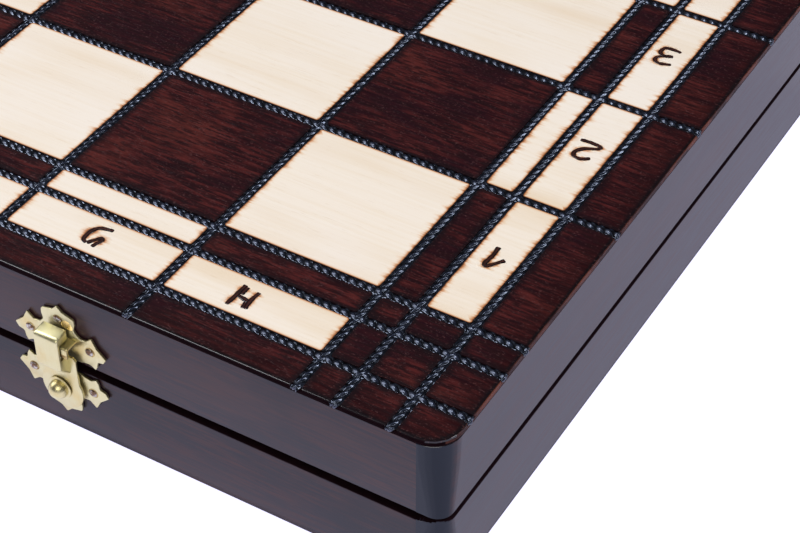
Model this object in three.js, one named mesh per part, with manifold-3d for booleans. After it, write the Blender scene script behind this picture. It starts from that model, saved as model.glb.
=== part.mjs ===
// Folding wooden chess set: a shallow two-part box whose outer faces are the two
// halves of the board. It is closed here, with the 32 chessmen lying in its trays.
// Millimetres, +Z up. The origin is the centre of the underside, +X runs along the
// files from a to h, and the latches are on the front, at -Y.
import * as THREE from "three";
import { mergeVertices } from "three/addons/utils/BufferGeometryUtils.js";
import Module from "manifold-3d";

// Board pattern, from which the plan size of the box follows
const SQUARE = 50;
const SIDE_BORDER = 11 + 15.5 + 15;
const FRONT_BORDER = 10.5 + 16.3 + 13;
const WIDTH = 8 * SQUARE + 2 * SIDE_BORDER;
const DEPTH = 4 * SQUARE + FRONT_BORDER;

// Box
const HEIGHT = 50.6;
const SEAM = 0.4;
const RIM = (HEIGHT - SEAM) / 2;
const PANEL = 4;
const PANEL_LIP = 1;
const WALL = 8;
const CORNER_R = 7;
const CORNER_STEPS = 5;
const GAP = 0.3;
const UPPER_FRONT_RELIEF = 0.4;
const LOWER_FRONT_RELIEF = 2.2;
const GROOVE_DEPTH = 4;
const HALF_W = WIDTH / 2;
const HALF_D = DEPTH / 2;
const INNER_X = HALF_W - WALL;
const INNER_Y = HALF_D - WALL;

// Flocked trays that line the two halves
const TRAY = 6;
const TRAY_FLOOR = 1.5;
const TRAY_TOP = PANEL + GAP + TRAY;
const NEST_CLEARANCE = 0.6;

// Rear butt hinges
const HINGE_X = 150;
const HINGE_LENGTH = 32;
const KNUCKLE_R = 2;
const KNUCKLE_BORE_R = 1.15;
const HINGE_PIN_R = 0.85;
const LEAF = 0.8;
const AXIS_Y = HALF_D + 0.35;
const AXIS_Z = HEIGHT / 2;

// Front latches
const LATCH_X = 127.4;
const PLATE = 0.8;
const KEEPER_Z = HEIGHT - 18.2;
const BASE_Z = HEIGHT - 32.7;
const RIVET_Z = HEIGHT - 34;
const LEVER_STANDOFF = 0.8;
const LEVER_SHEET = 0.8;
const CAP_WIDTH = 7;
const CAP_DEPTH = 4.6;
const CAP_BOTTOM = 6.5;
const CAP_TOP = 20.9;
const CAP_SIDE_TOP = 13.4;
const FOOT_R = 6.9;
const RIVET_R = 1.2;
const RIVET_HOLE_R = 1.5;
const RIVET_DEPTH = 5;

// Chessmen: height and base radius of each kind, and the radius their heads lie on
const SIDES_OF_A_TURNING = 12;
const SLOT_PITCH = 28.6;
const BASE_MARGIN = 3;
const MEN = {
  king: { height: 88, base: 16.5, head: 7.5 },
  queen: { height: 78, base: 16, head: 7.5 },
  bishop: { height: 66, base: 14.5, head: 7 },
  knight: { height: 58, base: 14.5, head: 6 },
  rook: { height: 48, base: 14.5, head: 9.5 },
  pawn: { height: 45, base: 13, head: 7.5 },
};
const BACK_RANK = ["rook", "knight", "bishop", "queen", "king", "bishop", "knight", "rook"];
const FILES = "abcdefgh";

const wasm = await Module();
wasm.setup();

const set = new THREE.Group();
const finish = (colour, roughness, metalness = 0) =>
  new THREE.MeshStandardMaterial({ color: colour, roughness, metalness, flatShading: true });
const DARK_WOOD = finish(0x3a1a18, 0.4);
const SIDE_WOOD = finish(0x4b4649, 0.45);
const LIGHT_MEN = finish(0xe6cf9f, 0.4);
const DARK_MEN = finish(0x3b1d14, 0.35);
const FLOCK = finish(0x1f4d33, 0.95);
const BRASS = finish(0xd9cb9a, 0.3, 1);
const STEEL = finish(0xa9a6a0, 0.35, 1);

// ---- solids ----------------------------------------------------------------

function solid(geometry) {
  const bare = geometry.clone();
  bare.deleteAttribute("normal");
  bare.deleteAttribute("uv");
  const merged = mergeVertices(bare, 1e-5);
  return new wasm.Manifold(new wasm.Mesh({
    numProp: 3,
    vertProperties: new Float32Array(merged.attributes.position.array),
    triVerts: new Uint32Array(merged.index.array),
  }));
}

function geometryOf(manifold) {
  const mesh = manifold.getMesh();
  const geometry = new THREE.BufferGeometry();
  geometry.setAttribute("position", new THREE.BufferAttribute(mesh.vertProperties, 3));
  geometry.setIndex(new THREE.BufferAttribute(mesh.triVerts, 1));
  geometry.computeVertexNormals();
  return geometry;
}

function cut(geometry, ...tools) {
  return geometryOf(tools.reduce((body, tool) => body.subtract(solid(tool)), solid(geometry)));
}

function join(first, ...others) {
  return geometryOf(others.reduce((body, other) => body.add(solid(other)), solid(first)));
}

function block([x0, x1], [y0, y1], [z0, z1]) {
  const box = new THREE.BoxGeometry(Math.abs(x1 - x0), Math.abs(y1 - y0), Math.abs(z1 - z0));
  return box.translate((x0 + x1) / 2, (y0 + y1) / 2, (z0 + z1) / 2);
}

// A plan outline raised from one level to another
function raised(shape, za, zb) {
  const depth = Math.abs(zb - za);
  const body = new THREE.ExtrudeGeometry(shape, { depth, bevelEnabled: false });
  return body.translate(0, 0, Math.min(za, zb));
}

// An outline drawn in the X-Z plane, standing from y = back forward by its thickness
function standing(shape, back, thickness) {
  const plate = new THREE.ExtrudeGeometry(shape, { depth: thickness, bevelEnabled: false });
  return plate.rotateX(Math.PI / 2).translate(0, back, 0);
}

// A rod along X or Y, given its centre and its ends on that axis
function rodX(radius, [x0, x1], y, z, sides = SIDES_OF_A_TURNING) {
  const rod = new THREE.CylinderGeometry(radius, radius, x1 - x0, sides);
  return rod.rotateZ(Math.PI / 2).translate((x0 + x1) / 2, y, z);
}

function rodY(radius, x, [y0, y1], z, sides = SIDES_OF_A_TURNING) {
  const rod = new THREE.CylinderGeometry(radius, radius, y1 - y0, sides);
  return rod.translate(x, (y0 + y1) / 2, z);
}

function addMesh(name, geometry, material, parent = set) {
  const mesh = new THREE.Mesh(geometry, material);
  mesh.name = name;
  parent.add(mesh);
  return mesh;
}

// ---- the two box halves ------------------------------------------------------

// Heights are given from a half's own board face, which is down on the lower half
const SIDES = [["left", -1], ["right", 1]];
const LOWER = { name: "lower", level: (z) => z, relief: LOWER_FRONT_RELIEF };
const UPPER = { name: "upper", level: (z) => HEIGHT - z, relief: UPPER_FRONT_RELIEF };

// Points round a front corner in plan, from the front face to the side face
function frontCorner(side) {
  return Array.from({ length: CORNER_STEPS + 1 }, (_, step) => {
    const turn = (step / CORNER_STEPS) * (Math.PI / 2);
    const x = HALF_W - CORNER_R * (1 - Math.sin(turn));
    const y = -HALF_D + CORNER_R * (1 - Math.cos(turn));
    return new THREE.Vector2(side * x, y);
  });
}

// Outline of a board panel: square at the fold, rounded at the two front corners
function panelShape() {
  const foldEdge = [new THREE.Vector2(HALF_W, HALF_D), new THREE.Vector2(-HALF_W, HALF_D)];
  return new THREE.Shape([...frontCorner(1), ...foldEdge, ...frontCorner(-1).reverse()]);
}

// A side wall runs the full depth, so its end shows on the front face
function sideWallShape(side) {
  const inner = [HALF_D, -HALF_D].map((y) => new THREE.Vector2(side * INNER_X, y));
  return new THREE.Shape([...inner, ...frontCorner(side), new THREE.Vector2(side * HALF_W, HALF_D)]);
}

function addSideWalls(half) {
  for (const [side, sign] of SIDES) {
    const wall = raised(sideWallShape(sign), half.level(PANEL_LIP + GAP), half.level(RIM));
    addMesh(`${half.name}_${side}_wall`, wall, SIDE_WOOD);
  }
}

// The outer part of the front rim is cut back, which leaves a finger groove at the seam
function addFrontWall(half) {
  const span = [-INNER_X + GAP, INNER_X - GAP];
  const foot = half.level(PANEL_LIP + GAP);
  const outer = block(span, [-HALF_D, -INNER_Y], [foot, half.level(RIM - half.relief)]);
  const inner = block(span, [-HALF_D + GROOVE_DEPTH, -INNER_Y], [foot, half.level(RIM)]);
  let wall = join(outer, inner);
  if (half === LOWER) {
    const holes = SIDES.map(([, sign]) =>
      rodY(RIVET_HOLE_R, sign * LATCH_X, [-HALF_D - 1, -HALF_D + RIVET_DEPTH], RIVET_Z));
    wall = cut(wall, ...holes);
  }
  addMesh(`${half.name}_front_wall`, wall, SIDE_WOOD);
}

function addBackWall(half) {
  const span = [-INNER_X + GAP, INNER_X - GAP];
  const levels = [half.level(PANEL_LIP + GAP), half.level(RIM)];
  const mortises = SIDES.flatMap(([, sign]) => {
    const length = [-1, 1].map((end) => sign * HINGE_X + end * (HINGE_LENGTH / 2 + GAP));
    const floor = half.level(RIM - LEAF - GAP);
    return [
      block(length, [INNER_Y - 1, HALF_D + 1], [floor, half.level(RIM + 1)]),
      rodX(KNUCKLE_R + 0.5, length, AXIS_Y, AXIS_Z),
    ];
  });
  const wall = block(span, [INNER_Y, HALF_D], levels);
  addMesh(`${half.name}_back_wall`, cut(wall, ...mortises), SIDE_WOOD);
}

// A board panel sits between the walls, and a thin lip of it covers their edges
function addBoard(half) {
  const lip = raised(panelShape(), half.level(0), half.level(PANEL_LIP));
  const [x, y] = [INNER_X - GAP, INNER_Y - GAP];
  const core = block([-x, x], [-y, y], [half.level(PANEL_LIP / 2), half.level(PANEL)]);
  addMesh(`${half.name}_board`, join(lip, core), DARK_WOOD);
}

function addHalf(half) {
  addBoard(half);
  addSideWalls(half);
  addFrontWall(half);
  addBackWall(half);
}

// ---- hinges --------------------------------------------------------------------

// Each leaf lies in a mortise in its rim; the lower one holds the two outer knuckles
function hingeLeaf(half, x, knuckles) {
  const ends = [x - HINGE_LENGTH / 2, x + HINGE_LENGTH / 2];
  const levels = [half.level(RIM - LEAF), half.level(RIM)];
  const flat = block(ends, [INNER_Y + GAP, AXIS_Y - KNUCKLE_R - 0.65], levels);
  const parts = knuckles.flatMap((span) => [
    block(span, [INNER_Y + 1, AXIS_Y - KNUCKLE_R + 0.65], levels),
    cut(rodX(KNUCKLE_R, span, AXIS_Y, AXIS_Z),
      rodX(KNUCKLE_BORE_R, [span[0] - 1, span[1] + 1], AXIS_Y, AXIS_Z)),
  ]);
  return join(flat, ...parts);
}

function addHinge(side, x) {
  const third = HINGE_LENGTH / 3;
  const start = x - HINGE_LENGTH / 2;
  const middle = [start + third + GAP, start + 2 * third - GAP];
  const outer = [[start, start + third], [start + 2 * third, start + HINGE_LENGTH]];
  addMesh(`${side}_hinge_lower_leaf`, hingeLeaf(LOWER, x, outer), BRASS);
  addMesh(`${side}_hinge_upper_leaf`, hingeLeaf(UPPER, x, [middle]), BRASS);
  addMesh(`${side}_hinge_pin`, rodX(HINGE_PIN_R, [start, start + HINGE_LENGTH], AXIS_Y, AXIS_Z), STEEL);
}

// ---- latches -------------------------------------------------------------------

// Half outline of a stamped latch plate, from the tip of its long lobe to its straight edge
const PLATE_OUTLINE = [
  [0, 11.8], [2, 9.7], [5.6, 8.8], [4.9, 5.2], [7.3, 2.9], [10.9, 5], [12, 2.2],
  [14.6, 0], [12.4, -2.4], [11.2, -5.2], [9, -4.2], [6.2, -5],
];

// up = 1 points the long lobe up, -1 points it down
function plateShape(x, z, up) {
  const right = PLATE_OUTLINE.map(([u, v]) => new THREE.Vector2(x + u, z + up * v));
  const left = PLATE_OUTLINE.slice(1).map(([u, v]) => new THREE.Vector2(x - u, z + up * v));
  return new THREE.Shape([...right, ...left.reverse()]);
}

// The lid's plate carries a bent tongue, which the lever's cap closes over
function keeperPlate(x) {
  const back = -HALF_D - GAP;
  const plate = standing(plateShape(x, KEEPER_Z, 1), back, PLATE);
  const reach = back - PLATE - LEVER_STANDOFF - CAP_DEPTH + 1.2;
  const tongue = block([x - 1.8, x + 6.6], [back - PLATE / 2, reach], [KEEPER_Z + 1.1, KEEPER_Z + 1.9]);
  const lip = block([x - 1.8, x + 6.6], [reach + 0.8, reach], [KEEPER_Z - 1.4, KEEPER_Z + 1.9]);
  return join(plate, tongue, lip);
}

function basePlate(x) {
  const back = -HALF_D - GAP;
  const plate = standing(plateShape(x, BASE_Z, -1), back, PLATE);
  return cut(plate, rodY(RIVET_HOLE_R, x, [back - PLATE - 1, back + 1], RIVET_Z));
}

// Flat foot round the rivet, with a flange beside a hollow cap. The cap is open behind,
// and on its right above the flange, where the keeper's tongue passes in.
function lever(x) {
  const back = -HALF_D - GAP - PLATE - LEVER_STANDOFF;
  const front = back - CAP_DEPTH;
  const half = CAP_WIDTH / 2;
  const [bottom, top] = [RIVET_Z + CAP_BOTTOM, RIVET_Z + CAP_TOP];
  const sideTop = RIVET_Z + CAP_SIDE_TOP;
  const sheet = LEVER_SHEET;
  const disc = rodY(FOOT_R, x, [back - sheet, back], RIVET_Z, 20);
  const foot = block([x - half - 1.6, x + half + 2.6], [back - sheet, back], [RIVET_Z, bottom + 1.5]);
  const flange = block([x + half - sheet, x + half + 2.6], [back - sheet, back], [bottom, RIVET_Z + 12.4]);
  const face = block([x - half, x + half], [front, front + sheet], [bottom, top]);
  const roof = block([x - half, x + half], [front, back], [top - sheet, top]);
  const floor = block([x - half, x + half], [front, back], [bottom, bottom + sheet]);
  const left = block([x - half, x - half + sheet], [front, back], [bottom, top]);
  const right = block([x + half - sheet, x + half], [front, back], [bottom, sideTop]);
  const body = join(disc, foot, flange, face, roof, floor, left, right);
  return cut(body, rodY(RIVET_HOLE_R, x, [back - sheet - 1, back + 1], RIVET_Z));
}

function rivet(x) {
  const back = -HALF_D - GAP - PLATE - LEVER_STANDOFF - LEVER_SHEET - GAP;
  const shaft = [[0, 6], [RIVET_R, 6], [RIVET_R, 0], [3.4, 0], [3.4, -0.6], [2.3, -0.6]];
  const dome = [[2.1, -1.6], [1.3, -2.4], [0, -2.7]];
  const profile = [...shaft, ...dome].map(([r, y]) => new THREE.Vector2(r, y));
  const turned = new THREE.LatheGeometry(profile.reverse(), SIDES_OF_A_TURNING);
  return turned.translate(x, back, RIVET_Z);
}

function addLatch(side, x) {
  addMesh(`${side}_latch_keeper`, keeperPlate(x), BRASS);
  addMesh(`${side}_latch_base`, basePlate(x), BRASS);
  addMesh(`${side}_latch_lever`, lever(x), BRASS);
  addMesh(`${side}_latch_rivet`, rivet(x), BRASS);
}

// ---- chessmen --------------------------------------------------------------------

// Every man is a turning about local +Y, with its foot at y = 0. The profiles give
// radius and height, up to the top of the man.
function turning(points) {
  const profile = points.map(([r, y]) => new THREE.Vector2(r, y));
  return new THREE.LatheGeometry(profile, SIDES_OF_A_TURNING);
}

function footProfile({ base }) {
  return [[0, 0], [base, 0], [base, 3.5], [base * 0.62, 8]];
}

const MAN_SHAPES = {
  pawn: (man) => turning([...footProfile(man), [4.4, 24], [7, 29], [7.5, 37], [3.5, 44], [0, 45]]),
  rook: (man) => turning([...footProfile(man), [6.8, 32], [9.5, 38], [9.5, 48], [0, 48]]),
  bishop: (man) => turning([...footProfile(man), [4.8, 38], [7, 41], [6.8, 50], [2, 60], [2, 66], [0, 66]]),
  queen: (man) => turning([...footProfile(man), [5.4, 50], [7.5, 54], [7, 66], [3, 70], [3, 77], [0, 78]]),
  king: (man) => {
    const body = turning([...footProfile(man), [5.6, 54], [7.5, 58], [7.2, 72], [3, 77], [0, 77]]);
    const post = block([-1.5, 1.5], [76, man.height], [-1.5, 1.5]);
    const arms = block([-4, 4], [81, 84.2], [-1.5, 1.5]);
    return join(body, post, arms);
  },
  knight: (man) => {
    const foot = turning([...footProfile(man), [9, 17], [0, 17]]);
    const head = new THREE.Shape([
      [-8.4, 14], [8, 14], [7.2, 26], [11, 34], [12, 40], [9, 42.5], [3, 49], [0.5, 57.6],
      [-4, 53], [-9, 40], [-10.4, 26],
    ].map(([x, y]) => new THREE.Vector2(x, y)));
    const neck = new THREE.ExtrudeGeometry(head, { depth: 11, bevelEnabled: false });
    return join(foot, neck.translate(0, 0, -5.5));
  },
};

// The foot's rim lies in a pocket of the tray and the head on the tray's face, so a
// man slopes a little. Returns the placing of a man, turned over for the upper half.
function lyingPlace(kind, half, x, y, towards) {
  const man = MEN[kind];
  const footLevel = PANEL + GAP + TRAY_FLOOR + NEST_CLEARANCE + man.base;
  const headLevel = TRAY_TOP + GAP + 0.2 + man.head;
  const slope = Math.atan2(footLevel - headLevel, man.height * 0.85);
  const up = half === LOWER ? 1 : -1;
  const place = new THREE.Object3D();
  place.position.set(x, y, half.level(footLevel));
  const turn = towards > 0 ? 0 : Math.PI;
  place.rotation.set(-up * towards * slope, 0, turn);
  place.updateMatrix();
  return place.matrix;
}

function pocketFor(kind, placing) {
  const { base } = MEN[kind];
  const radius = base + NEST_CLEARANCE;
  const [start, end] = [-1, 8.2];
  const pocket = new THREE.CylinderGeometry(radius, radius, end - start, SIDES_OF_A_TURNING);
  return pocket.translate(0, (start + end) / 2, 0).applyMatrix4(placing);
}

// Where the men of one half lie: its back rank in one row and its pawns in the other
function layout(half) {
  const firstSlot = half === LOWER ? 0 : 1;
  const slotX = (file) => (firstSlot + 2 * file - 7.5) * SLOT_PITCH;
  const outerFoot = INNER_Y - BASE_MARGIN;
  const rows = half === LOWER
    ? { pieces: [outerFoot, -1], pawns: [-outerFoot, 1] }
    : { pieces: [-BASE_MARGIN, -1], pawns: [BASE_MARGIN, 1] };
  return [...FILES].flatMap((letter, file) => [
    { kind: BACK_RANK[file], letter, placing: lyingPlace(BACK_RANK[file], half, slotX(file), ...rows.pieces) },
    { kind: "pawn", letter, placing: lyingPlace("pawn", half, slotX(file), ...rows.pawns) },
  ]);
}

function addTrayAndMen(half, side, material) {
  const men = layout(half);
  const [x, y] = [INNER_X - GAP, INNER_Y - GAP];
  const slab = block([-x, x], [-y, y], [half.level(PANEL + GAP), half.level(TRAY_TOP)]);
  addMesh(`${half.name}_tray`, cut(slab, ...men.map((man) => pocketFor(man.kind, man.placing))), FLOCK);
  for (const { kind, letter, placing } of men) {
    const name = kind === "king" || kind === "queen" ? `${side}_${kind}` : `${side}_${kind}_${letter}`;
    const mesh = addMesh(name, MAN_SHAPES[kind](MEN[kind]), material);
    mesh.applyMatrix4(placing);
  }
}

// ---- assembly ----------------------------------------------------------------------

for (const half of [LOWER, UPPER]) {
  addHalf(half);
}
for (const [side, sign] of SIDES) {
  addHinge(side, sign * HINGE_X);
  addLatch(side, sign * LATCH_X);
}
addTrayAndMen(LOWER, "dark", DARK_MEN);
addTrayAndMen(UPPER, "light", LIGHT_MEN);

export default set;
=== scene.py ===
"""Looks of the folding chess set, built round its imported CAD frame. Metres, +Z up."""
import math

import bmesh
import bpy
import numpy as np
from mathutils import Matrix, Vector


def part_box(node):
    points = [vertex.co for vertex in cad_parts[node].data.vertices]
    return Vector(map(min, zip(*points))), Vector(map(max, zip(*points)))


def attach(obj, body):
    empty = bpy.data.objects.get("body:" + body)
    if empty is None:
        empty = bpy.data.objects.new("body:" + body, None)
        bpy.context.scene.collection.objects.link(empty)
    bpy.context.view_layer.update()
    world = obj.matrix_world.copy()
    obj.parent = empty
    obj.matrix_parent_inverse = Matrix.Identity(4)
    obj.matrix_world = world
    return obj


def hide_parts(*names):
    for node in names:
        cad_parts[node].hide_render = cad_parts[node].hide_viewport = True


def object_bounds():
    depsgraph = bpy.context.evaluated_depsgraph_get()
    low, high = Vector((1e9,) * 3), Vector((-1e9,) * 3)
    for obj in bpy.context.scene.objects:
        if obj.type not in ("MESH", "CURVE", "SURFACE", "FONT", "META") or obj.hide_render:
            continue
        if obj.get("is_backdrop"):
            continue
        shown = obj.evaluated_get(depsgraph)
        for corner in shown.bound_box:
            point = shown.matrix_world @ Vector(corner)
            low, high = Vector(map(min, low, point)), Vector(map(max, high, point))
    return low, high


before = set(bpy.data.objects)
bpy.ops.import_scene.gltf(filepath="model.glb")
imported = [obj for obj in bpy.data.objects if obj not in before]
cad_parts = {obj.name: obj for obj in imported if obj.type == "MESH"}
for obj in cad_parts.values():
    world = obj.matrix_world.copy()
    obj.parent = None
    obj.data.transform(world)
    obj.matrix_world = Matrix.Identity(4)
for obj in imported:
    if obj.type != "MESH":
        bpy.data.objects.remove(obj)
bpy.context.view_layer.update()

MM = 0.001
RNG = np.random.default_rng(7)

# ---- sizes, from the frame ----

BOARD_LOW, BOARD_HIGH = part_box("upper_board")
HALF_W = BOARD_HIGH.x
FRONT = BOARD_LOW.y
FOLD = BOARD_HIGH.y
TOP = BOARD_HIGH.z
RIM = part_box("lower_right_wall")[1].z
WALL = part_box("lower_right_wall")[1].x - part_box("lower_right_wall")[0].x
INNER_X = HALF_W - WALL
INNER_Y = FOLD - WALL

# Board pattern
SQUARE = 50 * MM
SIDE_BANDS = (15 * MM, 15.5 * MM, 11 * MM)
FRONT_BANDS = (12.3 * MM, 16.4 * MM, 10.8 * MM)
BORDERS = len(SIDE_BANDS)
LAST_COLUMN, LAST_ROW = 2 * BORDERS + 7, BORDERS + 3
LINE_HALF = 1.36 * MM
VENEER = 0.35 * MM
LIP = 1.35 * MM
CORNER_TOP = 8.5 * MM
CORNER_SEAM = 4.5 * MM
NOSING = 0.52 * MM

# Walls: where they start under the panel's lip, how far back the finger groove goes, and
# the room left between parts that meet inside
WALL_FOOT = LIP + 0.12 * MM
GROOVE_BACK = FRONT + 4 * MM
FIT = 0.3 * MM

# Roped lines
ROPE_HALF = 1.5 * MM
ROPE_PERIOD = 2.65 * MM
ROPE_LOW = -0.42 * MM
ROPE_RELIEF = 0.7 * MM
ROPE_STEPS = 6
ROPE_COLUMNS = 11
ROPE_SLANT = 1.05
ROPE_WANDER = 0.16 * MM
ROPE_GRAIN = 0.008 * MM
ROPE_STRENGTH = (0.7, 1.12)
WRAP_RADIUS = 0.9 * MM
WRAP_DROP = 1.1 * MM

FILES = "ABCDEFGH"

# Trays, in mm from the board face: their floor and the flock's top
TRAY_FLOOR = 4.3
TRAY_TOP = 10.3


# ---- shaders ----

class Shader:
    """A material on a Principled surface. Settings are node properties or sockets by
    name, with _ for a space; a socket given as a value is linked."""

    def __init__(self, name, **settings):
        self.material = bpy.data.materials.new(name)
        self.material.use_nodes = True
        self.tree = self.material.node_tree
        self.tree.nodes.clear()
        self.surface = self.add("ShaderNodeBsdfPrincipled")
        output = self.add("ShaderNodeOutputMaterial")
        self.tree.links.new(self.surface.outputs[0], output.inputs[0])
        self.set(self.surface, **settings)

    def add(self, kind, **settings):
        """A new node with its settings."""
        node = self.tree.nodes.new(kind)
        self.set(node, **settings)
        return node

    def set(self, node, **settings):
        """Sets a node's properties and sockets by name."""
        for key, value in settings.items():
            if hasattr(node, key):
                setattr(node, key, value)
            else:
                self.plug(node.inputs[key.replace("_", " ")], value)

    def plug(self, socket, value):
        """Links another socket, or sets a number or a colour."""
        if isinstance(value, bpy.types.NodeSocket):
            self.tree.links.new(value, socket)
        elif hasattr(socket.default_value, "__len__") and len(value) < len(socket.default_value):
            socket.default_value = (*value, 1)
        else:
            socket.default_value = value

    def place(self, scale):
        """Object coordinates times a scale per axis, which stretches a texture."""
        coordinates = self.add("ShaderNodeTexCoord").outputs["Object"]
        node = self.add("ShaderNodeVectorMath", operation="MULTIPLY")
        self.plug(node.inputs[0], coordinates)
        self.plug(node.inputs[1], scale)
        return node.outputs[0]

    def noise(self, scale, detail=3.0, rough=0.55, distortion=0.0):
        """Noise 0 to 1, with its own frequency along each axis, per metre."""
        return self.add("ShaderNodeTexNoise", Vector=self.place(scale), Scale=1.0, Detail=detail,
                        Roughness=rough, Distortion=distortion).outputs["Fac"]

    def attribute(self, name):
        """A value painted on the mesh."""
        return self.add("ShaderNodeAttribute", attribute_name=name).outputs["Fac"]

    def math(self, operation, a, b=0.0):
        """A sum, product or other operation on two numbers."""
        node = self.add("ShaderNodeMath", operation=operation)
        self.plug(node.inputs[0], a)
        self.plug(node.inputs[1], b)
        return node.outputs[0]

    def spread(self, value, low, high, to_low=0.0, to_high=1.0):
        """value from low to high, eased on to to_low to to_high."""
        return self.add("ShaderNodeMapRange", interpolation_type="SMOOTHSTEP", Value=value,
                        From_Min=low, From_Max=high, To_Min=to_low, To_Max=to_high).outputs[0]

    def mix(self, factor, a, b):
        """From a to b as the factor goes from 0 to 1."""
        node = self.add("ShaderNodeMix", data_type="RGBA")
        for index, value in ((0, factor), (6, a), (7, b)):
            self.plug(node.inputs[index], value)
        return node.outputs[2]

    def bump(self, height, distance):
        """Fine relief from a texture, distance metres deep."""
        node = self.add("ShaderNodeBump", Height=height, Distance=distance, Strength=1.0)
        self.set(self.surface, Normal=node.outputs[0])

    def finish(self, colour, **settings):
        """Gives the surface its colour, and other sockets by name."""
        self.set(self.surface, Base_Color=colour, **settings)

    def normal_axis(self, axis):
        """How far the surface faces along an axis, whichever way."""
        normal = self.add("ShaderNodeTexCoord").outputs["Normal"]
        parts = self.add("ShaderNodeSeparateXYZ", Vector=normal)
        return self.math("ABSOLUTE", parts.outputs[axis])


def burned_birch():
    """Bare birch, grain along X, scorched where the edge attribute, in mm, nears zero."""
    s = Shader("burned_birch", Coat_Weight=0.25, Coat_Roughness=0.18)
    fibre = s.noise((26, 950, 400), detail=4)
    broad = s.noise((7, 60, 40), detail=2)
    cloud = s.noise((16, 22, 20), detail=2)
    fleck = s.spread(s.noise((160, 2600, 900), detail=2), 0.62, 0.74)
    wood = s.mix(s.spread(fibre, 0.35, 0.75), (0.963, 0.854, 0.716), (0.925, 0.798, 0.634))
    wood = s.mix(s.spread(broad, 0.46, 0.74, 0, 0.55), wood, (0.83, 0.64, 0.42))
    wood = s.mix(s.spread(cloud, 0.4, 0.7, 0, 0.5), wood, (0.98, 0.90, 0.81))
    wood = s.mix(s.math("MULTIPLY", fleck, 0.25), wood, (0.72, 0.53, 0.34))
    edge = s.attribute("edge")
    along = s.attribute("along")
    teeth = s.spread(s.noise((50, 480, 300), detail=5, rough=0.72), 0.4, 0.7)
    reach = s.math("ADD", 0.36, s.math("MULTIPLY", along, s.math("MULTIPLY", teeth, 0.85)))
    depth = s.math("DIVIDE", edge, reach)
    wood = s.mix(s.spread(depth, 0.25, 3.2, 0.6, 0), wood, (0.80, 0.44, 0.18))
    wood = s.mix(s.spread(depth, 0.2, 1.6, 0.95, 0), wood, (0.52, 0.16, 0.03))
    wood = s.mix(s.spread(depth, 0.05, 0.62), (0.014, 0.006, 0.004), wood)
    s.finish(wood, Roughness=s.spread(fibre, 0.2, 0.8, 0.38, 0.5))
    s.bump(s.math("ADD", fibre, s.math("MULTIPLY", fleck, -0.5)), 0.00003)
    return s.material


def mahogany():
    """Dark red stain under a gloss lacquer, in short fibres along X; black at the board's
    rounded edges and singed beside the burned lines, where the burn attribute is low."""
    s = Shader("mahogany_stain", Coat_Weight=0.54, Coat_Roughness=0.07, Specular_IOR_Level=0.1)
    fibre = s.noise((90, 950, 500), detail=5, rough=0.65)
    fine = s.noise((230, 1500, 900), detail=3)
    patch = s.noise((30, 55, 50), detail=3)
    stain = s.mix(s.spread(fibre, 0.38, 0.66), (0.014, 0.0014, 0.003), (0.080, 0.0132, 0.0122))
    stain = s.mix(s.spread(patch, 0.52, 0.7, 0, 0.42), stain, (0.128, 0.025, 0.018))
    stain = s.mix(s.spread(patch, 0.5, 0.36, 0, 0.8), stain, (0.014, 0.0018, 0.005))
    stain = s.mix(s.spread(fine, 0.46, 0.62, 0, 0.8), stain, (0.011, 0.0008, 0.0018))
    edge = s.attribute("edge")
    stain = s.mix(s.spread(edge, 1.5, 9, 0.6, 0), stain, (0.016, 0.0012, 0.0018))
    stain = s.mix(s.spread(edge, 0.6, 1.6, 0.97, 0), stain, (0.0015, 0.001, 0.0015))
    reach = s.spread(s.noise((35, 45, 40), detail=2), 0.35, 0.65, 0.9, 3)
    singed = s.spread(s.math("DIVIDE", s.attribute("burn"), reach), 0.1, 1, 0.85, 0)
    stain = s.mix(singed, stain, (0.006, 0.002, 0.0035))
    pores = s.spread(s.noise((300, 1900, 900), detail=2), 0.56, 0.72)
    speck = s.spread(s.noise((1300, 2400, 900), detail=2), 0.6, 0.72, 0, 0.4)
    stain = s.mix(speck, stain, (0.14, 0.058, 0.056))
    s.finish(stain, Roughness=s.spread(fine, 0.3, 0.7, 0.34, 0.52))
    s.bump(s.math("SUBTRACT", s.math("MULTIPLY", fine, 0.6), pores), 0.00004)
    return s.material


def satin_stain(name, along, coat, grain=1.0):
    """Black-brown stain of the walls, with a faint red grain along one axis and blue-black
    end grain. The coat is the strength of its polish, and grain that of its figure."""
    def grained(lengthwise, crosswise):
        return tuple(lengthwise if axis == along else crosswise for axis in range(3))

    s = Shader(name, Coat_Weight=coat, Coat_IOR=2.3, Coat_Roughness=0.24, Specular_IOR_Level=0.05)
    streak = s.noise(grained(65, 1150), detail=5, rough=0.65)
    broad = s.noise(grained(9, 60), detail=3)
    stain = s.mix(s.spread(streak, 0.4, 0.68, 0, grain), (0.0115, 0.007, 0.0128), (0.044, 0.0135, 0.012))
    stain = s.mix(s.spread(broad, 0.46, 0.7, 0, 0.7 * grain), stain, (0.042, 0.017, 0.016))
    cloud = s.noise((24, 24, 40), detail=3)
    stain = s.mix(s.spread(cloud, 0.48, 0.66, 0, 0.65 * grain), stain, (0.003, 0.0045, 0.010))
    end_grain = s.spread(s.normal_axis(along), 0.1, 0.5)
    stain = s.mix(end_grain, stain, (0.002, 0.006, 0.015))
    s.finish(stain, Roughness=s.spread(streak, 0.3, 0.8, 0.42, 0.52))
    s.bump(streak, 0.00002)
    return s.material


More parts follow.
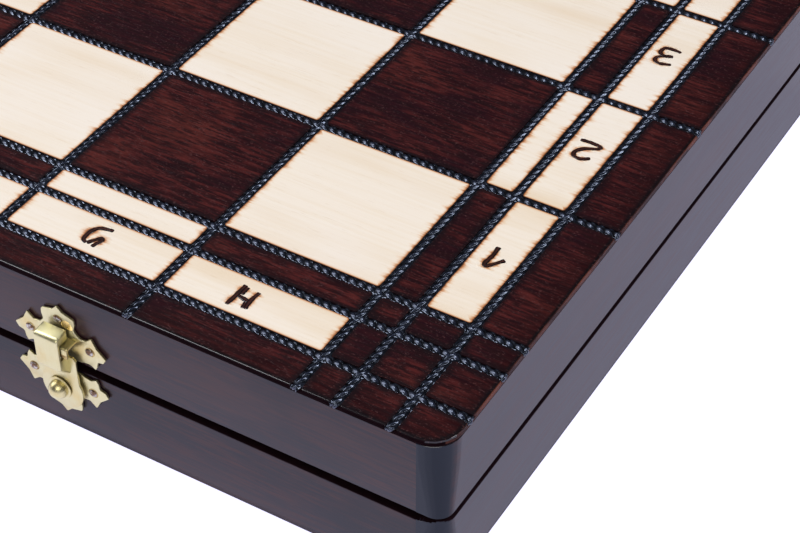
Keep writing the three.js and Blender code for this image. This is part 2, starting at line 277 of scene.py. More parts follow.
def charred_rope():
    """Burned and pressed wood of the roped lines, glossy, with painted light: shade near black in the
    hollows and a painted blue sheen on the raised strands.
    """
    s = Shader("charred_rope", Specular_IOR_Level=0.85, Specular_Tint=(0.68, 0.78, 1.0))
    crust = s.noise((700, 700, 700), detail=4)
    height = s.attribute("height")
    # Painted shade and sheen: by the height attribute the hollows are darkened to near black and the raised
    # strands lightened to blue.
    char = s.mix(s.spread(height, 0.15, 0.9), (0.0008, 0.0009, 0.0015), (0.017, 0.022, 0.040))
    char = s.mix(s.spread(crust, 0.45, 0.8, 0, 0.5), char, (0.024, 0.028, 0.044))
    s.finish(char, Roughness=s.spread(crust, 0.3, 0.7, 0.15, 0.28))
    s.bump(crust, 0.00004)
    return s.material


def charred_stroke():
    """Burned strokes of the letters and digits: black walls and a browner floor."""
    s = Shader("charred_stroke", Coat_Weight=0.8, Coat_Roughness=0.16, Roughness=0.5,
               Specular_IOR_Level=0.1)
    crust = s.noise((700, 700, 700), detail=3)
    centre = s.spread(s.attribute("edge"), 0.2, 0.5)
    char = s.mix(centre, (0.004, 0.0015, 0.0015), (0.056, 0.014, 0.009))
    s.finish(s.mix(s.spread(crust, 0.4, 0.7, 0, 0.7), char, (0.009, 0.004, 0.004)))
    s.bump(crust, 0.00005)
    return s.material


def black_groove():
    """Matt black of the board's front edge, and painted shade: the seam groove and the edges along the seam
    are near black.
    """
    s = Shader("black_groove", Roughness=0.85, Specular_IOR_Level=0.02)
    soot = s.noise((300, 700, 700), detail=3)
    s.finish(s.mix(soot, (0.003, 0.001, 0.0015), (0.012, 0.004, 0.006)))
    return s.material


def worn_edge():
    """The board's thin edge, rubbed brown along the sides."""
    s = Shader("worn_edge", Roughness=0.6, Specular_IOR_Level=0.15)
    rub = s.spread(s.noise((60, 110, 200), detail=4), 0.38, 0.62)
    side = s.spread(s.normal_axis(0), 0.1, 0.35)
    brown = s.mix(rub, (0.030, 0.009, 0.008), (0.125, 0.034, 0.019))
    s.finish(s.mix(side, (0.003, 0.002, 0.003), brown))
    return s.material


def inner_wood():
    """Stained inside faces of the walls and the back of the board panels."""
    s = Shader("inner_wood", Roughness=0.6)
    streak = s.noise((20, 200, 200), detail=4)
    s.finish(s.mix(streak, (0.016, 0.009, 0.008), (0.05, 0.024, 0.018)))
    return s.material


def brass_sheet(name, pale, deep, least_rough):
    """Plated brass sheet, a little deeper in colour in patches, softly brushed."""
    s = Shader(name, Metallic=1.0)
    patch = s.noise((140, 140, 140), detail=3)
    brushed = s.noise((2600, 500, 300), detail=2)
    tone = s.mix(s.spread(patch, 0.42, 0.75), pale, deep)
    s.finish(tone, Roughness=s.spread(brushed, 0.3, 0.7, least_rough, least_rough + 0.1))
    return s.material


def nail_steel():
    """Dull plated nails, screws and hinge pins, browned in the hollows."""
    s = Shader("nail_steel", Metallic=1.0)
    stain = s.noise((900, 900, 900), detail=3)
    tone = s.mix(s.spread(stain, 0.38, 0.6), (0.50, 0.47, 0.42), (0.16, 0.09, 0.05))
    s.finish(tone, Roughness=s.spread(stain, 0.3, 0.7, 0.25, 0.5))
    return s.material


def tarnish_and_shade_brass():
    """Dark browned brass: some tarnish, and painted shade in the rings round the nails, under the hook and
    inside the cap; also on the screws' slot bars.
    """
    s = Shader("tarnish_and_shade_brass", Metallic=1.0, Roughness=0.45)
    patch = s.noise((700, 700, 700), detail=3)
    s.finish(s.mix(s.spread(patch, 0.3, 0.7), (0.17, 0.10, 0.03), (0.55, 0.42, 0.17)))
    return s.material


def flocking():
    """Short dense green pile on the trays, brushed this way and that."""
    s = Shader("green_flock", Roughness=0.95, Sheen_Weight=0.35, Sheen_Roughness=0.4,
               Sheen_Tint=(0.5, 0.8, 0.6), Specular_IOR_Level=0.1)
    nap = s.noise((55, 55, 55), detail=3)
    pile = s.noise((2600, 2600, 2600), detail=2)
    green = s.mix(s.spread(nap, 0.35, 0.7), (0.010, 0.050, 0.026), (0.022, 0.085, 0.044))
    s.finish(s.mix(s.spread(pile, 0.35, 0.7, 0, 0.5), green, (0.006, 0.03, 0.016)))
    s.bump(pile, 0.00012)
    return s.material


def turned_wood(name, pale, deep, dark_line):
    """Lacquered wood of the men, with its grain along the piece's own Z."""
    s = Shader(name, Coat_Weight=0.6, Coat_Roughness=0.12)
    rings = s.noise((210, 210, 14), detail=4, distortion=0.6)
    pores = s.spread(s.noise((1500, 1500, 90), detail=2), 0.58, 0.75)
    tone = s.mix(s.spread(rings, 0.36, 0.7), pale, deep)
    tone = s.mix(s.math("MULTIPLY", pores, 0.5), tone, dark_line)
    s.finish(tone, Roughness=s.spread(rings, 0.3, 0.7, 0.3, 0.42))
    s.bump(pores, 0.00003)
    return s.material


def studio_white():
    """A pale floor that glows a little, as over a light table."""
    s = Shader("studio_white", Roughness=0.6, Specular_IOR_Level=0.1,
               Emission_Color=(0.96, 0.94, 1.26), Emission_Strength=0.98)
    tone = s.noise((2, 2, 2), detail=2)
    s.finish(s.mix(tone, (0.28, 0.28, 0.30), (0.31, 0.31, 0.32)))
    return s.material


BIRCH = burned_birch()
MAHOGANY = mahogany()
FRONT_STAIN = satin_stain("satin_stain_across", 0, 0.212)
SIDE_STAIN = satin_stain("satin_stain_deep", 1, 0.295, 0.5)
# Round a side wall's front corner the polish differs from facet to facet: up to each
# facing, in degrees from the front, the coat is this strong
CORNER_COATS = ((2, 0.172), (14, 0.146), (28, 0.12), (52, 0.1), (65, 0.105), (77, 0.13), (89, 0.2))
END_STAINS = [satin_stain(f"satin_stain_end_{k}", 1, coat) for k, (_, coat) in enumerate(CORNER_COATS)]
ROPE = charred_rope()
STROKE = charred_stroke()
GROOVE = black_groove()
EDGE = worn_edge()
INSIDE = inner_wood()
BRASS = brass_sheet("stamped_brass", (0.63, 0.58, 0.325), (0.61, 0.50, 0.225), 0.33)
# A brighter, deeper gold that paints the reflection seen on the hook's root
BRASS_PAINTED_REFLECTION = brass_sheet("brass_painted_reflection", (1.0, 0.72, 0.25), (0.9, 0.56, 0.14), 0.2)
# Dark brass for painted shade round the nails, under the hook and inside the cap
TARNISH_AND_SHADE = tarnish_and_shade_brass()
STEEL = nail_steel()
FLOCK = flocking()
MEN_WOOD = {
    "light": turned_wood("pale_turned_wood", (0.76, 0.58, 0.33), (0.66, 0.44, 0.21), (0.42, 0.24, 0.10)),
    "dark": turned_wood("dark_turned_wood", (0.060, 0.022, 0.012), (0.028, 0.010, 0.007),
                        (0.008, 0.004, 0.004)),
}


# ---- mesh helpers ----

def linked(name, data):
    """A new object of a mesh, a light or a camera, in the scene."""
    thing = bpy.data.objects.new(name, data)
    bpy.context.scene.collection.objects.link(thing)
    return thing


def piece(name, mesh, materials, body, slot, replaces=(), sharp_angle=35):
    """Makes an object of a mesh, shades it and hangs it on its CAD body."""
    for material in materials:
        mesh.materials.append(material)
    mesh.shade_smooth()
    mesh.set_sharp_from_angle(angle=math.radians(sharp_angle))
    mesh.validate()
    thing = linked(name, mesh)
    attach(thing, body)
    if replaces:
        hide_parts(*replaces)


def closed_mesh(name, points, faces):
    """A mesh of closed shells, with its faces turned to point out."""
    mesh = bpy.data.meshes.new(name)
    mesh.from_pydata([tuple(p) for p in points], [], faces)
    work = bmesh.new()
    work.from_mesh(mesh)
    bmesh.ops.recalc_face_normals(work, faces=work.faces)
    work.to_mesh(mesh)
    work.free()
    return mesh


def solid_piece(name, part, material, body, slot, replaced=None, sharp_angle=35):
    """A piece of one material, made of a closed part."""
    piece(name, closed_mesh(name, *part), [material], body, slot, [replaced] if replaced else (),
          sharp_angle)


def quad_mesh(name, points, quads):
    """A large mesh of quads from arrays."""
    mesh = bpy.data.meshes.new(name)
    mesh.vertices.add(len(points))
    mesh.vertices.foreach_set("co", np.asarray(points, np.float32).ravel())
    mesh.loops.add(quads.size)
    mesh.loops.foreach_set("vertex_index", quads.astype(np.int32).ravel())
    mesh.polygons.add(len(quads))
    mesh.polygons.foreach_set("loop_start", np.arange(0, quads.size, 4, dtype=np.int32))
    mesh.update(calc_edges=True)
    return mesh


def assign_faces(mesh, chosen, index):
    """Gives the faces that chosen(centre, normal) picks one of the piece's materials."""
    for face in mesh.polygons:
        if chosen(face.center, face.normal):
            face.material_index = index


def paint(mesh, name, values):
    """Stores a number at each point, for the shaders."""
    layer = mesh.attributes.new(name, "FLOAT", "POINT")
    layer.data.foreach_set("value", np.asarray(values, np.float32))


def merged(parts):
    """Joins (points, faces) parts into one list of points and one of faces."""
    points, faces = [], []
    for part_points, part_faces in parts:
        faces += [tuple(i + len(points) for i in face) for face in part_faces]
        points += list(part_points)
    return points, faces


def loft(rings, endless=False):
    """Closed shell through rings with equal numbers of points, capped at both ends, or
    endless, with its last ring joined to its first."""
    count = len(rings[0])
    points = [p for ring in rings for p in ring]
    faces = [] if endless else [tuple(range(count)), tuple(range(len(points) - count, len(points)))]
    for r in range(len(rings) - (not endless)):
        a, b = r * count, (r + 1) % len(rings) * count
        for i in range(count):
            j = (i + 1) % count
            faces.append((a + i, a + j, b + j, b + i))
    return points, faces


def moved(part, matrix):
    """A part placed by a matrix."""
    points, faces = part
    return [tuple(matrix @ Vector(p)) for p in points], faces


def area_sign(outline):
    """1 for an outline that runs anticlockwise, or -1."""
    twice = sum(a[0] * b[1] - b[0] * a[1] for a, b in zip(outline, outline[1:] + outline[:1]))
    return 1 if twice > 0 else -1


def inset(outline, distance):
    """An outline moved in by a distance, corner by corner."""
    moved, sign = [], area_sign(outline)
    for before, here, after in zip(outline[-1:] + outline[:-1], outline, outline[1:] + outline[:1]):
        a = Vector((here[0] - before[0], here[1] - before[1])).normalized()
        b = Vector((after[0] - here[0], after[1] - here[1])).normalized()
        normal = Vector((-(a.y + b.y), a.x + b.x)) * sign
        normal /= max(normal.length_squared, 0.6)
        moved.append((here[0] + 2 * distance * normal.x, here[1] + 2 * distance * normal.y))
    return moved


def filleted(outline, radii, steps=4):
    """An outline with its corners rounded; radii is one for all or one each."""
    if not hasattr(radii, "__len__"):
        radii = [radii] * len(outline)
    rounded = []
    for i, (corner, radius) in enumerate(zip(outline, radii)):
        if radius <= 0:
            rounded.append(tuple(corner))
            continue
        here = Vector(corner)
        to_a = Vector(outline[i - 1]) - here
        to_b = Vector(outline[(i + 1) % len(outline)]) - here
        half_angle = to_a.angle(to_b) / 2
        back = min(radius / math.tan(half_angle), 0.48 * to_a.length, 0.48 * to_b.length)
        a, b = here + to_a.normalized() * back, here + to_b.normalized() * back
        for step in range(steps + 1):
            t = step / steps
            rounded.append(tuple(a * (1 - t) ** 2 + here * 2 * t * (1 - t) + b * t ** 2))
    return rounded


# Where (across, across, along) goes, by the axis that it is along
TURN = {
    "x": lambda a, b, t: (t, a, b),
    "y": lambda a, b, t: (a, t, b),
    "z": lambda a, b, t: (a, b, t),
}


def prism(outline, axis, low, high, ease=0.0, steps=2):
    """An outline drawn across an axis, run from low to high, with eased end edges."""
    place = TURN[axis]
    levels = [(low, 0), (high, 0)]
    if ease:
        arc = [math.pi / 2 * k / steps for k in range(steps + 1)]
        start = [(low + ease * (1 - math.sin(a)), ease * (1 - math.cos(a))) for a in reversed(arc)]
        end = [(high - ease * (1 - math.sin(a)), ease * (1 - math.cos(a))) for a in arc]
        levels = start + end
    rings = [[place(a, b, t) for a, b in (inset(outline, d) if d else outline)] for t, d in levels]
    return loft(rings)


def in_mm(pairs, origin=(0, 0)):
    """Pairs given in millimetres from an origin, in metres."""
    return [(origin[0] + a * MM, origin[1] + b * MM) for a, b in pairs]


def rectangle(x0, x1, y0, y1):
    """Corners of a rectangle, anticlockwise."""
    return [(x0, y0), (x1, y0), (x1, y1), (x0, y1)]


def eased_block(x, y, z, ease):
    """A block with every edge a little rounded."""
    return prism(filleted(rectangle(*x, *y), 1.6 * ease, 2), "z", *z, ease)


def turned(profile, segments=48, shape=None):
    """A turning about Z from (radius, height) pairs that start and end on the axis.
    shape(angle, radius, height) may change a point."""
    rings = []
    for radius, height in profile[1:-1]:
        ring = []
        for k in range(segments):
            angle = 2 * math.pi * k / segments
            r, h = shape(angle, radius, height) if shape else (radius, height)
            ring.append((r * math.cos(angle), r * math.sin(angle), h))
        rings.append(ring)
    return loft(rings)


# ---- the two halves ----

class Half:
    """One half of the box, with its board face's level and the way that face looks."""

    def __init__(self, name, board, sign):
        self.name, self.board, self.sign = name, board, sign
        self.body = f"{name}_half"

    def z(self, depth):
        """Height of a point at a depth behind the board face."""
        return self.board - self.sign * depth

    def out(self, x, y, n):
        """The point n above the board face."""
        return (x, y, self.board + self.sign * n)


UPPER = Half("upper", TOP, 1)
LOWER = Half("lower", 0.0, -1)


def band_edges(start, bands, squares, mirrored):
    """Edges of the bands and squares across the board, from one side."""
    edges = [start]
    for width in (*bands, *[SQUARE] * squares, *(reversed(bands) if mirrored else ())):
        edges.append(edges[-1] + width)
    return edges


X_EDGES = band_edges(-HALF_W, SIDE_BANDS, 8, True)
Y_EDGES = band_edges(FRONT, FRONT_BANDS, 4, False)


def is_light(half, column, row):
    """Whether a square or border field is bare wood. Columns and rows count the borders."""
    file_index, rank_row = column - BORDERS, row - BORDERS
    in_file, in_rank = 0 <= file_index < 8, rank_row >= 0
    if (row == 1 and in_file) or (column in (1, LAST_COLUMN - 1) and in_rank):
        return True
    nearest_file = min(max(file_index, 0), 7)
    nearest_row = max(rank_row, 0)
    rank = nearest_row if half is UPPER else 7 - nearest_row
    light_square = (nearest_file + rank) % 2 == 1
    if in_file and in_rank:
        return light_square
    if (row == 2 and in_file) or (column in (2, LAST_COLUMN - 2) and in_rank):
        return not light_square
    return False


# ---- board faces ----

# Rings of points of a field, in mm: how far in from its edge, and how high
CELL_RINGS = ((0, -0.5), (0, -0.3), (0.03, 0), (0.12, 0), (0.26, 0), (0.48, 0), (0.9, 0), (3.2, 0))
CELL_RADIUS = 0.9 * MM
CORNER_CELL_REACH = 2.3
SIDE_MARGIN, FRONT_MARGIN = 0.08 * MM, 0.1 * MM
ARC_STEPS = 5


def cell_ring(bounds, radii, distance):
    """Points round a cell moved in by a distance, with how far each edge faces X."""
    x0, x1, y0, y1 = bounds
    corners = ((x1, y1, 0), (x0, y1, 1), (x0, y0, 2), (x1, y0, 3))
    ring = []
    for (x, y, quarter), radius in zip(corners, radii):
        inner = max(radius - distance, 0.02 * MM)
        reach = max(radius, distance + 0.02 * MM)
        cx = x - math.copysign(reach, x - (x0 + x1) / 2)
        cy = y - math.copysign(reach, y - (y0 + y1) / 2)
        for step in range(ARC_STEPS + 1):
            angle = (quarter + step / ARC_STEPS) * math.pi / 2
            ring.append((cx + inner * math.cos(angle), cy + inner * math.sin(angle),
                         math.cos(angle) ** 2))
    return ring


def rim_distance(x, y):
    """How far a point of the board is from its outer edge, round corners included."""
    from_side, from_front = HALF_W - abs(x), y - FRONT
    if from_side < CORNER_TOP and from_front < CORNER_TOP:
        return CORNER_TOP - math.hypot(CORNER_TOP - from_side, CORNER_TOP - from_front)
    return min(from_side, from_front)


def nosing_drop(rim):
    """The board's edge is rounded over: how far its face has dropped there."""
    within = max(NOSING - rim, 0)
    return 0.75 * (NOSING - math.sqrt(max(NOSING ** 2 - within ** 2, 0)))


def cell(half, column, row):
    """One square or border field: points, faces and its painted values."""
    bounds = (X_EDGES[column] + (LINE_HALF if column > 0 else SIDE_MARGIN),
              X_EDGES[column + 1] - (LINE_HALF if column < LAST_COLUMN else SIDE_MARGIN),
              Y_EDGES[row] + (LINE_HALF if row > 0 else FRONT_MARGIN),
              Y_EDGES[row + 1] - (LINE_HALF if row < LAST_ROW else FRONT_MARGIN))
    radii = [CELL_RADIUS] * 4
    at_corner = row == 0 and column in (0, LAST_COLUMN)
    if at_corner:
        radii[2 if column == 0 else 3] = CORNER_TOP
    rings, edge, along, burn = [], [], [], []
    for distance, height in CELL_RINGS:
        if at_corner:
            distance = min(distance, CORNER_CELL_REACH)
        ring = []
        for x, y, across in cell_ring(bounds, radii, distance * MM):
            rim = rim_distance(x, y)
            ring.append(half.out(x, y, height * MM - nosing_drop(rim)))
            edge.append(distance if is_light(half, column, row) else rim / MM)
            along.append(across)
            burn.append(distance)
        rings.append(ring)
    return *loft(rings), edge, along, burn


def add_cells(half, light):
    """All the light or all the dark fields of a board face, as one piece."""
    cells = [cell(half, column, row) for column in range(LAST_COLUMN + 1) for row in range(LAST_ROW + 1)
             if is_light(half, column, row) == light]
    points, faces = merged([(c[0], c[1]) for c in cells])
    name = f"{half.name}_{'light' if light else 'dark'}_squares"
    mesh = closed_mesh(name, points, faces)
    paint(mesh, "edge", [v for c in cells for v in c[2]])
    paint(mesh, "along" if light else "burn", [v for c in cells for v in c[3 if light else 4]])
    assign_faces(mesh, lambda c, n: c.y < FRONT + 0.6 * MM and n.y < -0.75, 1)
    assign_faces(mesh, lambda c, n: HALF_W - abs(c.x) < 0.45 * MM, 2)
    wood, slot = (BIRCH, "light_wood") if light else (MAHOGANY, "board_wood")
    piece(name, mesh, [wood, GROOVE, EDGE], half.body, slot)


def rope_relief(s, v, phase):
    """Height of a roped line, 0 to 1: a row of fat beads between two rows of small ones."""
    turn = 2 * math.pi * s / ROPE_PERIOD + phase
    across = v / ROPE_HALF
    bead = np.clip(1 - (across / 0.62) ** 2, 0, 1) ** 0.6 * (0.5 + 0.5 * np.cos(turn)) ** 0.8
    flank = np.clip(1 - ((np.abs(across) - 0.78) / 0.24) ** 2, 0, 1) * (0.5 - 0.5 * np.cos(turn)) ** 0.8
    return np.maximum(bead, 0.62 * flank)


def bent_over(s, length, wraps):
    """Along a line that bends down over the board's edges: place, drop and slope."""
    place, drop, angle = s.copy(), np.zeros_like(s), np.zeros_like(s)
    for sign, bent in ((-1, wraps[0]), (1, wraps[1])):
        if not bent:
            continue
        start = length / 2 - WRAP_RADIUS + 0.25 * MM
        past = sign * s - start
        turned_by = np.clip(past / WRAP_RADIUS, 0, math.pi / 2)
        straight = np.maximum(past - WRAP_RADIUS * math.pi / 2, 0)
        over = past > 0
        place[over] = sign * (start + WRAP_RADIUS * np.sin(turned_by[over]))
        drop[over] = WRAP_RADIUS * (1 - np.cos(turned_by[over])) + straight[over]
        angle[over] = sign * turned_by[over]
    return place, drop, angle


def rope_line(half, middle, direction, length, wraps):
    """Grid of points of one line; middle is its centre and direction its unit vector.
    The grid is sheared so that it follows the slant of the strands."""
    extra = WRAP_RADIUS * (math.pi / 2 - 1) + WRAP_DROP
    low = -length / 2 - (extra if wraps[0] else 0)
    high = length / 2 + (extra if wraps[1] else 0)
    count = round((high - low) / ROPE_PERIOD * ROPE_STEPS)
    steps = np.linspace(low, high, count)
    unshorn, v = np.meshgrid(steps, np.linspace(-ROPE_HALF, ROPE_HALF, ROPE_COLUMNS), indexing="ij")
    slant = ROPE_SLANT * (1 if direction[0] else 1.6)
    s = np.clip(unshorn - half.sign * slant * v, low, high)
    bends, beads = np.linspace(low, high, 12), np.linspace(low, high, count // 3)
    wander = ROPE_WANDER * np.interp(s, bends, RNG.uniform(-1, 1, len(bends)))
    strength = np.interp(unshorn, beads, RNG.uniform(*ROPE_STRENGTH, len(beads)))
    raised = rope_relief(unshorn, v, RNG.uniform(0, 6)) * strength
    near_end = 1 - np.clip(np.minimum(s - low, high - s) / (0.7 * MM), 0, 1)
    raised = raised * (1 - near_end) + (0 if any(wraps) else 0.58) * near_end
    relief = ROPE_LOW + ROPE_RELIEF * raised + RNG.normal(0, ROPE_GRAIN, raised.shape)
    place, drop, angle = bent_over(s, length, wraps)
    if not any(wraps):
        rims = np.linspace(0, NOSING, 8)
        drop = drop + np.interp(length / 2 - np.abs(s) + 0.1 * MM, rims, [nosing_drop(rim) for rim in rims])
    along = place + relief * np.sin(angle)
    height = -drop + relief * np.cos(angle)
    side = v + wander
    x = middle[0] + direction[0] * along - direction[1] * side
    y = middle[1] + direction[1] * along + direction[0] * side
    grid = np.stack([x, y, half.board + half.sign * height], axis=-1)
    if any(wraps):
        return grid, raised
    skirt = np.array((0, 0, -half.sign * 0.6 * MM))
    return np.concatenate([grid[:1] + skirt, grid, grid[-1:] + skirt]), np.pad(raised, ((1, 1), (0, 0)))


def grid_quads(rows, columns, start, flip):
    """Quads over a grid of points whose first one is number start."""
    index = start + np.arange(rows * columns).reshape(rows, columns)
    quads = np.stack([index[:-1, :-1], index[1:, :-1], index[1:, 1:], index[:-1, 1:]], axis=-1)
    quads = quads.reshape(-1, 4)
    return quads[:, ::-1] if flip else quads


def add_rope(half, name, lines):
    """All the lines that run one way on a board face, as one piece."""
    points, quads, heights, start = [], [], [], 0
    for line in lines:
        grid, raised = rope_line(half, *line)
        heights.append(raised.ravel())
        rows, columns = grid.shape[:2]
        quads.append(grid_quads(rows, columns, start, half.sign < 0))
        points.append(grid.reshape(-1, 3))
        start += rows * columns
    mesh = quad_mesh(name, np.concatenate(points), np.concatenate(quads))
    # The relief's height, which the rope shader also turns into painted shade and painted sheen
    paint(mesh, "height", np.concatenate(heights))
    piece(name, mesh, [ROPE], half.body, "burned_line", sharp_angle=180)


def add_lines(half):
    """Burned lines: the ones along the ranks, and the ones along the files. On the lid
    they run on over the edges."""
    over = half is UPPER
    depth = FOLD - FRONT - (0 if over else 0.2 * MM)
    width = 2 * HALF_W - (0 if over else 0.2 * MM)
    across = [((0, y), (1, 0), width, (over, over)) for y in Y_EDGES[1:-1]]
    deep = [((x, (FRONT + FOLD) / 2), (0, 1), depth, (over, False)) for x in X_EDGES[1:-1]]
    add_rope(half, f"{half.name}_lines_across", across)
    add_rope(half, f"{half.name}_lines_deep", deep)


# ---- letters and digits ----

# Strokes in millimetres about the middle of the sign, which is about 8 high
SIGNS = {
    "A": [[(-2.6, -4), (-0.6, 0.4), (0.4, 3.8)], [(0.4, 3.8), (1.2, 0), (2.6, -4)],
          [(-1.6, -1.4), (1.8, -1.2)]],
    "B": [[(-2, 3.8), (-2.2, -4)], [(-2, 3.8), (1.2, 3.4), (1.6, 1.4), (-1.8, 0.2)],
          [(-1.8, 0.2), (1.8, -0.6), (2, -3), (-2.2, -4)]],
    "C": [[(2.4, 3), (0, 3.9), (-2.2, 1.6), (-2.4, -1.8), (-0.4, -4), (2.6, -3)]],
    "D": [[(-2.2, 3.8), (-2.2, -4)], [(-2.2, 3.8), (1.4, 3), (2.6, 0), (1.2, -3.2), (-2.2, -4)]],
    "E": [[(2.2, 3.8), (-1.8, 3.7), (-2.2, -3.9), (2.4, -4)], [(-2, 0), (1.6, 0.2)]],
    "F": [[(2.4, 3.8), (-1.8, 3.7), (-2.2, -4.2)], [(-2, 0.2), (1.6, 0.3)]],
    "G": [[(2.6, 3.7), (0.6, 3.4), (-1.6, 2.6), (-2.6, 0.4), (-2.4, -2.6), (-0.8, -3.5)],
          [(-0.8, -3.5), (0.4, -1.6), (1.4, -0.2), (2.1, -0.7), (1.6, -2.4), (1.1, -4.1)]],
    "H": [[(-2.2, 3.4), (-2.3, -0.8), (-2.6, -5)], [(-1.3, 3), (-1.4, -0.2)], [(-1.9, -0.8), (1.9, -1.5)],
          [(2.3, 2.7), (1.9, -0.7), (2.3, -4.2)], [(1.2, -1.8), (1.6, -4.3)]],
    "1": [[(1.5, -4.4), (1.3, -0.8), (1.6, 2.6), (1, 3.6), (0.3, 3.1), (-2.4, -0.6)]],
    "2": [[(4, -3.6), (1.4, -3.9), (-1.8, -3.6), (-2.2, -2.4), (1.2, -0.6), (2.9, 1.7),
           (2.4, 3.5), (0.2, 3.9), (-2.2, 2.4)]],
    "3": [[(-2.6, -3.8), (0.2, -4.1), (2.6, -3.6), (3, -1.2), (1.4, -0.1), (-1.4, -0.8)],
          [(-1.4, -0.8), (1.8, 0.6), (2.9, 2.6), (1, 4), (-2.6, 3)]],
    "4": [[(0.4, 4), (-2.6, -1), (2.6, -0.8)], [(1.6, 1.8), (1.4, -4)]],
    "5": [[(2.4, 3.8), (-1.6, 3.6), (-2, 0.6), (1.2, 0.6), (2.4, -1.4), (1, -3.8), (-2.4, -3.4)]],
    "6": [[(1.8, 3.8), (-1, 2), (-2.2, -1.2), (-0.8, -3.8), (1.8, -3), (2, -1), (0, -0.2), (-2, -1.4)]],
    "7": [[(-2.4, 3.6), (2.4, 3.8), (0.6, 0), (-0.6, -4)], [(-1.4, 0.2), (2.2, 0.4)]],
    "8": [[(0, 0.2), (-1.9, 1.8), (-0.6, 3.8), (1.6, 3), (1.4, 1), (-1.8, -1.4), (-1.8, -3.4),
           (0.4, -4.1), (2.2, -2.8), (1.6, -0.8), (0, 0.2)]],
}
# In mm: half the width of a stroke and of the scorch round it, and the step along it
STROKE_HALF = 0.7
HALO_HALF = 2.5
STROKE_STEP = 0.22
# Across a stroke: offset in half widths, height in mm and the painted distance
STROKE_SECTION = ((-1, 0.03, 0.0), (-0.8, 0.17, 0.1), (-0.5, 0.17, 0.3), (0, 0.065, 0.52),
                  (0.5, 0.17, 0.3), (0.8, 0.17, 0.1), (1, 0.03, 0.0))


def smooth_path(points, step):
    """Even points along a Catmull-Rom curve through the given ones."""
    ends = [points[0], *points, points[-1]]
    path = []
    for a, b, c, d in zip(ends, ends[1:], ends[2:], ends[3:]):
        a, b, c, d = map(np.array, (a, b, c, d))
        pieces = max(2, round(float(np.linalg.norm(c - b)) / step))
        for t in np.arange(pieces) / pieces:
            path.append(0.5 * (2 * b + (c - a) * t + (2 * a - 5 * b + 4 * c - d) * t ** 2
                               + (3 * b - a - 3 * c + d) * t ** 3))
    path.append(np.array(points[-1], float))
    return np.array(path)


def stroke_grid(path, section, half_width):
    """Sweeps a section along a path, tapered at its ends: its points in plan, then the
    section's heights, and the taper and direction at each place."""
    tangent = np.gradient(path, axis=0)
    tangent /= np.linalg.norm(tangent, axis=1)[:, None] + 1e-9
    normal = np.stack([-tangent[:, 1], tangent[:, 0]], axis=1)
    count = len(path)
    ends = np.minimum(np.arange(count), np.arange(count)[::-1]) * STROKE_STEP
    taper = np.sqrt(np.clip(1 - (1 - np.clip(ends / half_width, 0, 1)) ** 2, 0.02, 1))
    offsets = np.array([row[0] for row in section]) * half_width
    knots = np.arange(0, count + 5, 5)
    uneven = np.interp(np.arange(count), knots, RNG.uniform(0.8, 1.15, len(knots)))
    width = (taper * uneven)[:, None, None]
    flat = path[:, None, :] + normal[:, None, :] * (offsets[None, :, None] * width)
    return flat, np.array([row[1] for row in section]), taper, tangent


def sign_strokes(sign, size):
    """Smoothed paths of a sign, in mm about its middle."""
    for points in SIGNS[sign]:
        yield smooth_path([(x * size, y * size) for x, y in points], STROKE_STEP)


def add_signs(half):
    """Letters and digits of a half: burned strokes, and a scorched halo round them."""
    strokes, halos = [], []
    for sign, centre, right in sign_places(half):
        up = np.array((-right[1], right[0])) * half.sign
        for path in sign_strokes(sign, RNG.uniform(0.95, 1.03)):
            wobble = RNG.normal(0, 0.05, path.shape).cumsum(axis=0) * 0.12
            place = np.array(centre) / MM + np.outer(path[:, 0], right) + np.outer(path[:, 1], up)
            strokes.append(stroke_part(half, place + wobble))
            halos.append(halo_part(half, place + wobble))
    add_sign_piece(half, f"{half.name}_signs", strokes, STROKE, "burned_line")
    add_sign_piece(half, f"{half.name}_scorch", halos, BIRCH, "light_wood")


def stroke_part(half, path):
    """A burned stroke along a path, with its painted values."""
    flat, heights, taper, _ = stroke_grid(path, STROKE_SECTION, STROKE_HALF)
    points = [half.out(x * MM, y * MM, (h * t - 0.02) * MM)
              for row, t in zip(flat, taper) for (x, y), h in zip(row, heights)]
    painted = [row[2] for _ in path for row in STROKE_SECTION]
    return points, grid_quads(*flat.shape[:2], 0, half.sign < 0).tolist(), painted, [0.0] * len(painted)


def halo_part(half, path):
    """A thin skin of scorched wood each side of a stroke, wider along the grain."""
    section = [(k / 4, 0, 0) for k in range(-4, 5)]
    flat, _, taper, tangent = stroke_grid(path, section, HALO_HALF)
    upright = np.abs(tangent[:, 1])
    points, painted = [], []
    for row, t, steep, middle in zip(flat, taper, upright, path):
        reach = 0.55 + 0.45 * steep
        for (x, y), (offset, _, _) in zip(row, section):
            px, py = middle[0] + (x - middle[0]) * reach, middle[1] + (y - middle[1]) * reach
            points.append(half.out(px * MM, py * MM, (0.035 - 0.03 * abs(offset)) * MM))
            painted.append(0.16 + 3.1 * max(abs(offset) - 0.28, 0) + (1 - t) * 2)
    return points, grid_quads(*flat.shape[:2], 0, half.sign < 0).tolist(), painted, [1.15] * len(painted)


def add_sign_piece(half, name, parts, material, slot):
    """Parts of all the signs of a half, as one painted piece."""
    points, faces = merged([(p[0], p[1]) for p in parts])
    mesh = bpy.data.meshes.new(name)
    mesh.from_pydata(points, [], faces)
    paint(mesh, "edge", [v for p in parts for v in p[2]])
    paint(mesh, "along", [v for p in parts for v in p[3]])
    piece(name, mesh, [material], half.body, slot, sharp_angle=180)


# How far signs on the lid stand from the middle of their field, in mm
SIGN_SHIFTS = {
    "A": (1.2, 0.4), "B": (-2, -0.5), "C": (-0.8, 0.6), "D": (1.6, -0.4), "E": (-1.4, 0.3),
    "F": (0.8, -0.8), "G": (0.8, 0), "H": (-3.2, 0.5), "1": (0, 0.6), "2": (0, 2), "3": (0, 2.4),
    "4": (0.3, 1),
}


def centre_of(edges, index):
    """Middle of a column or a row of the board."""
    return (edges[index] + edges[index + 1]) / 2


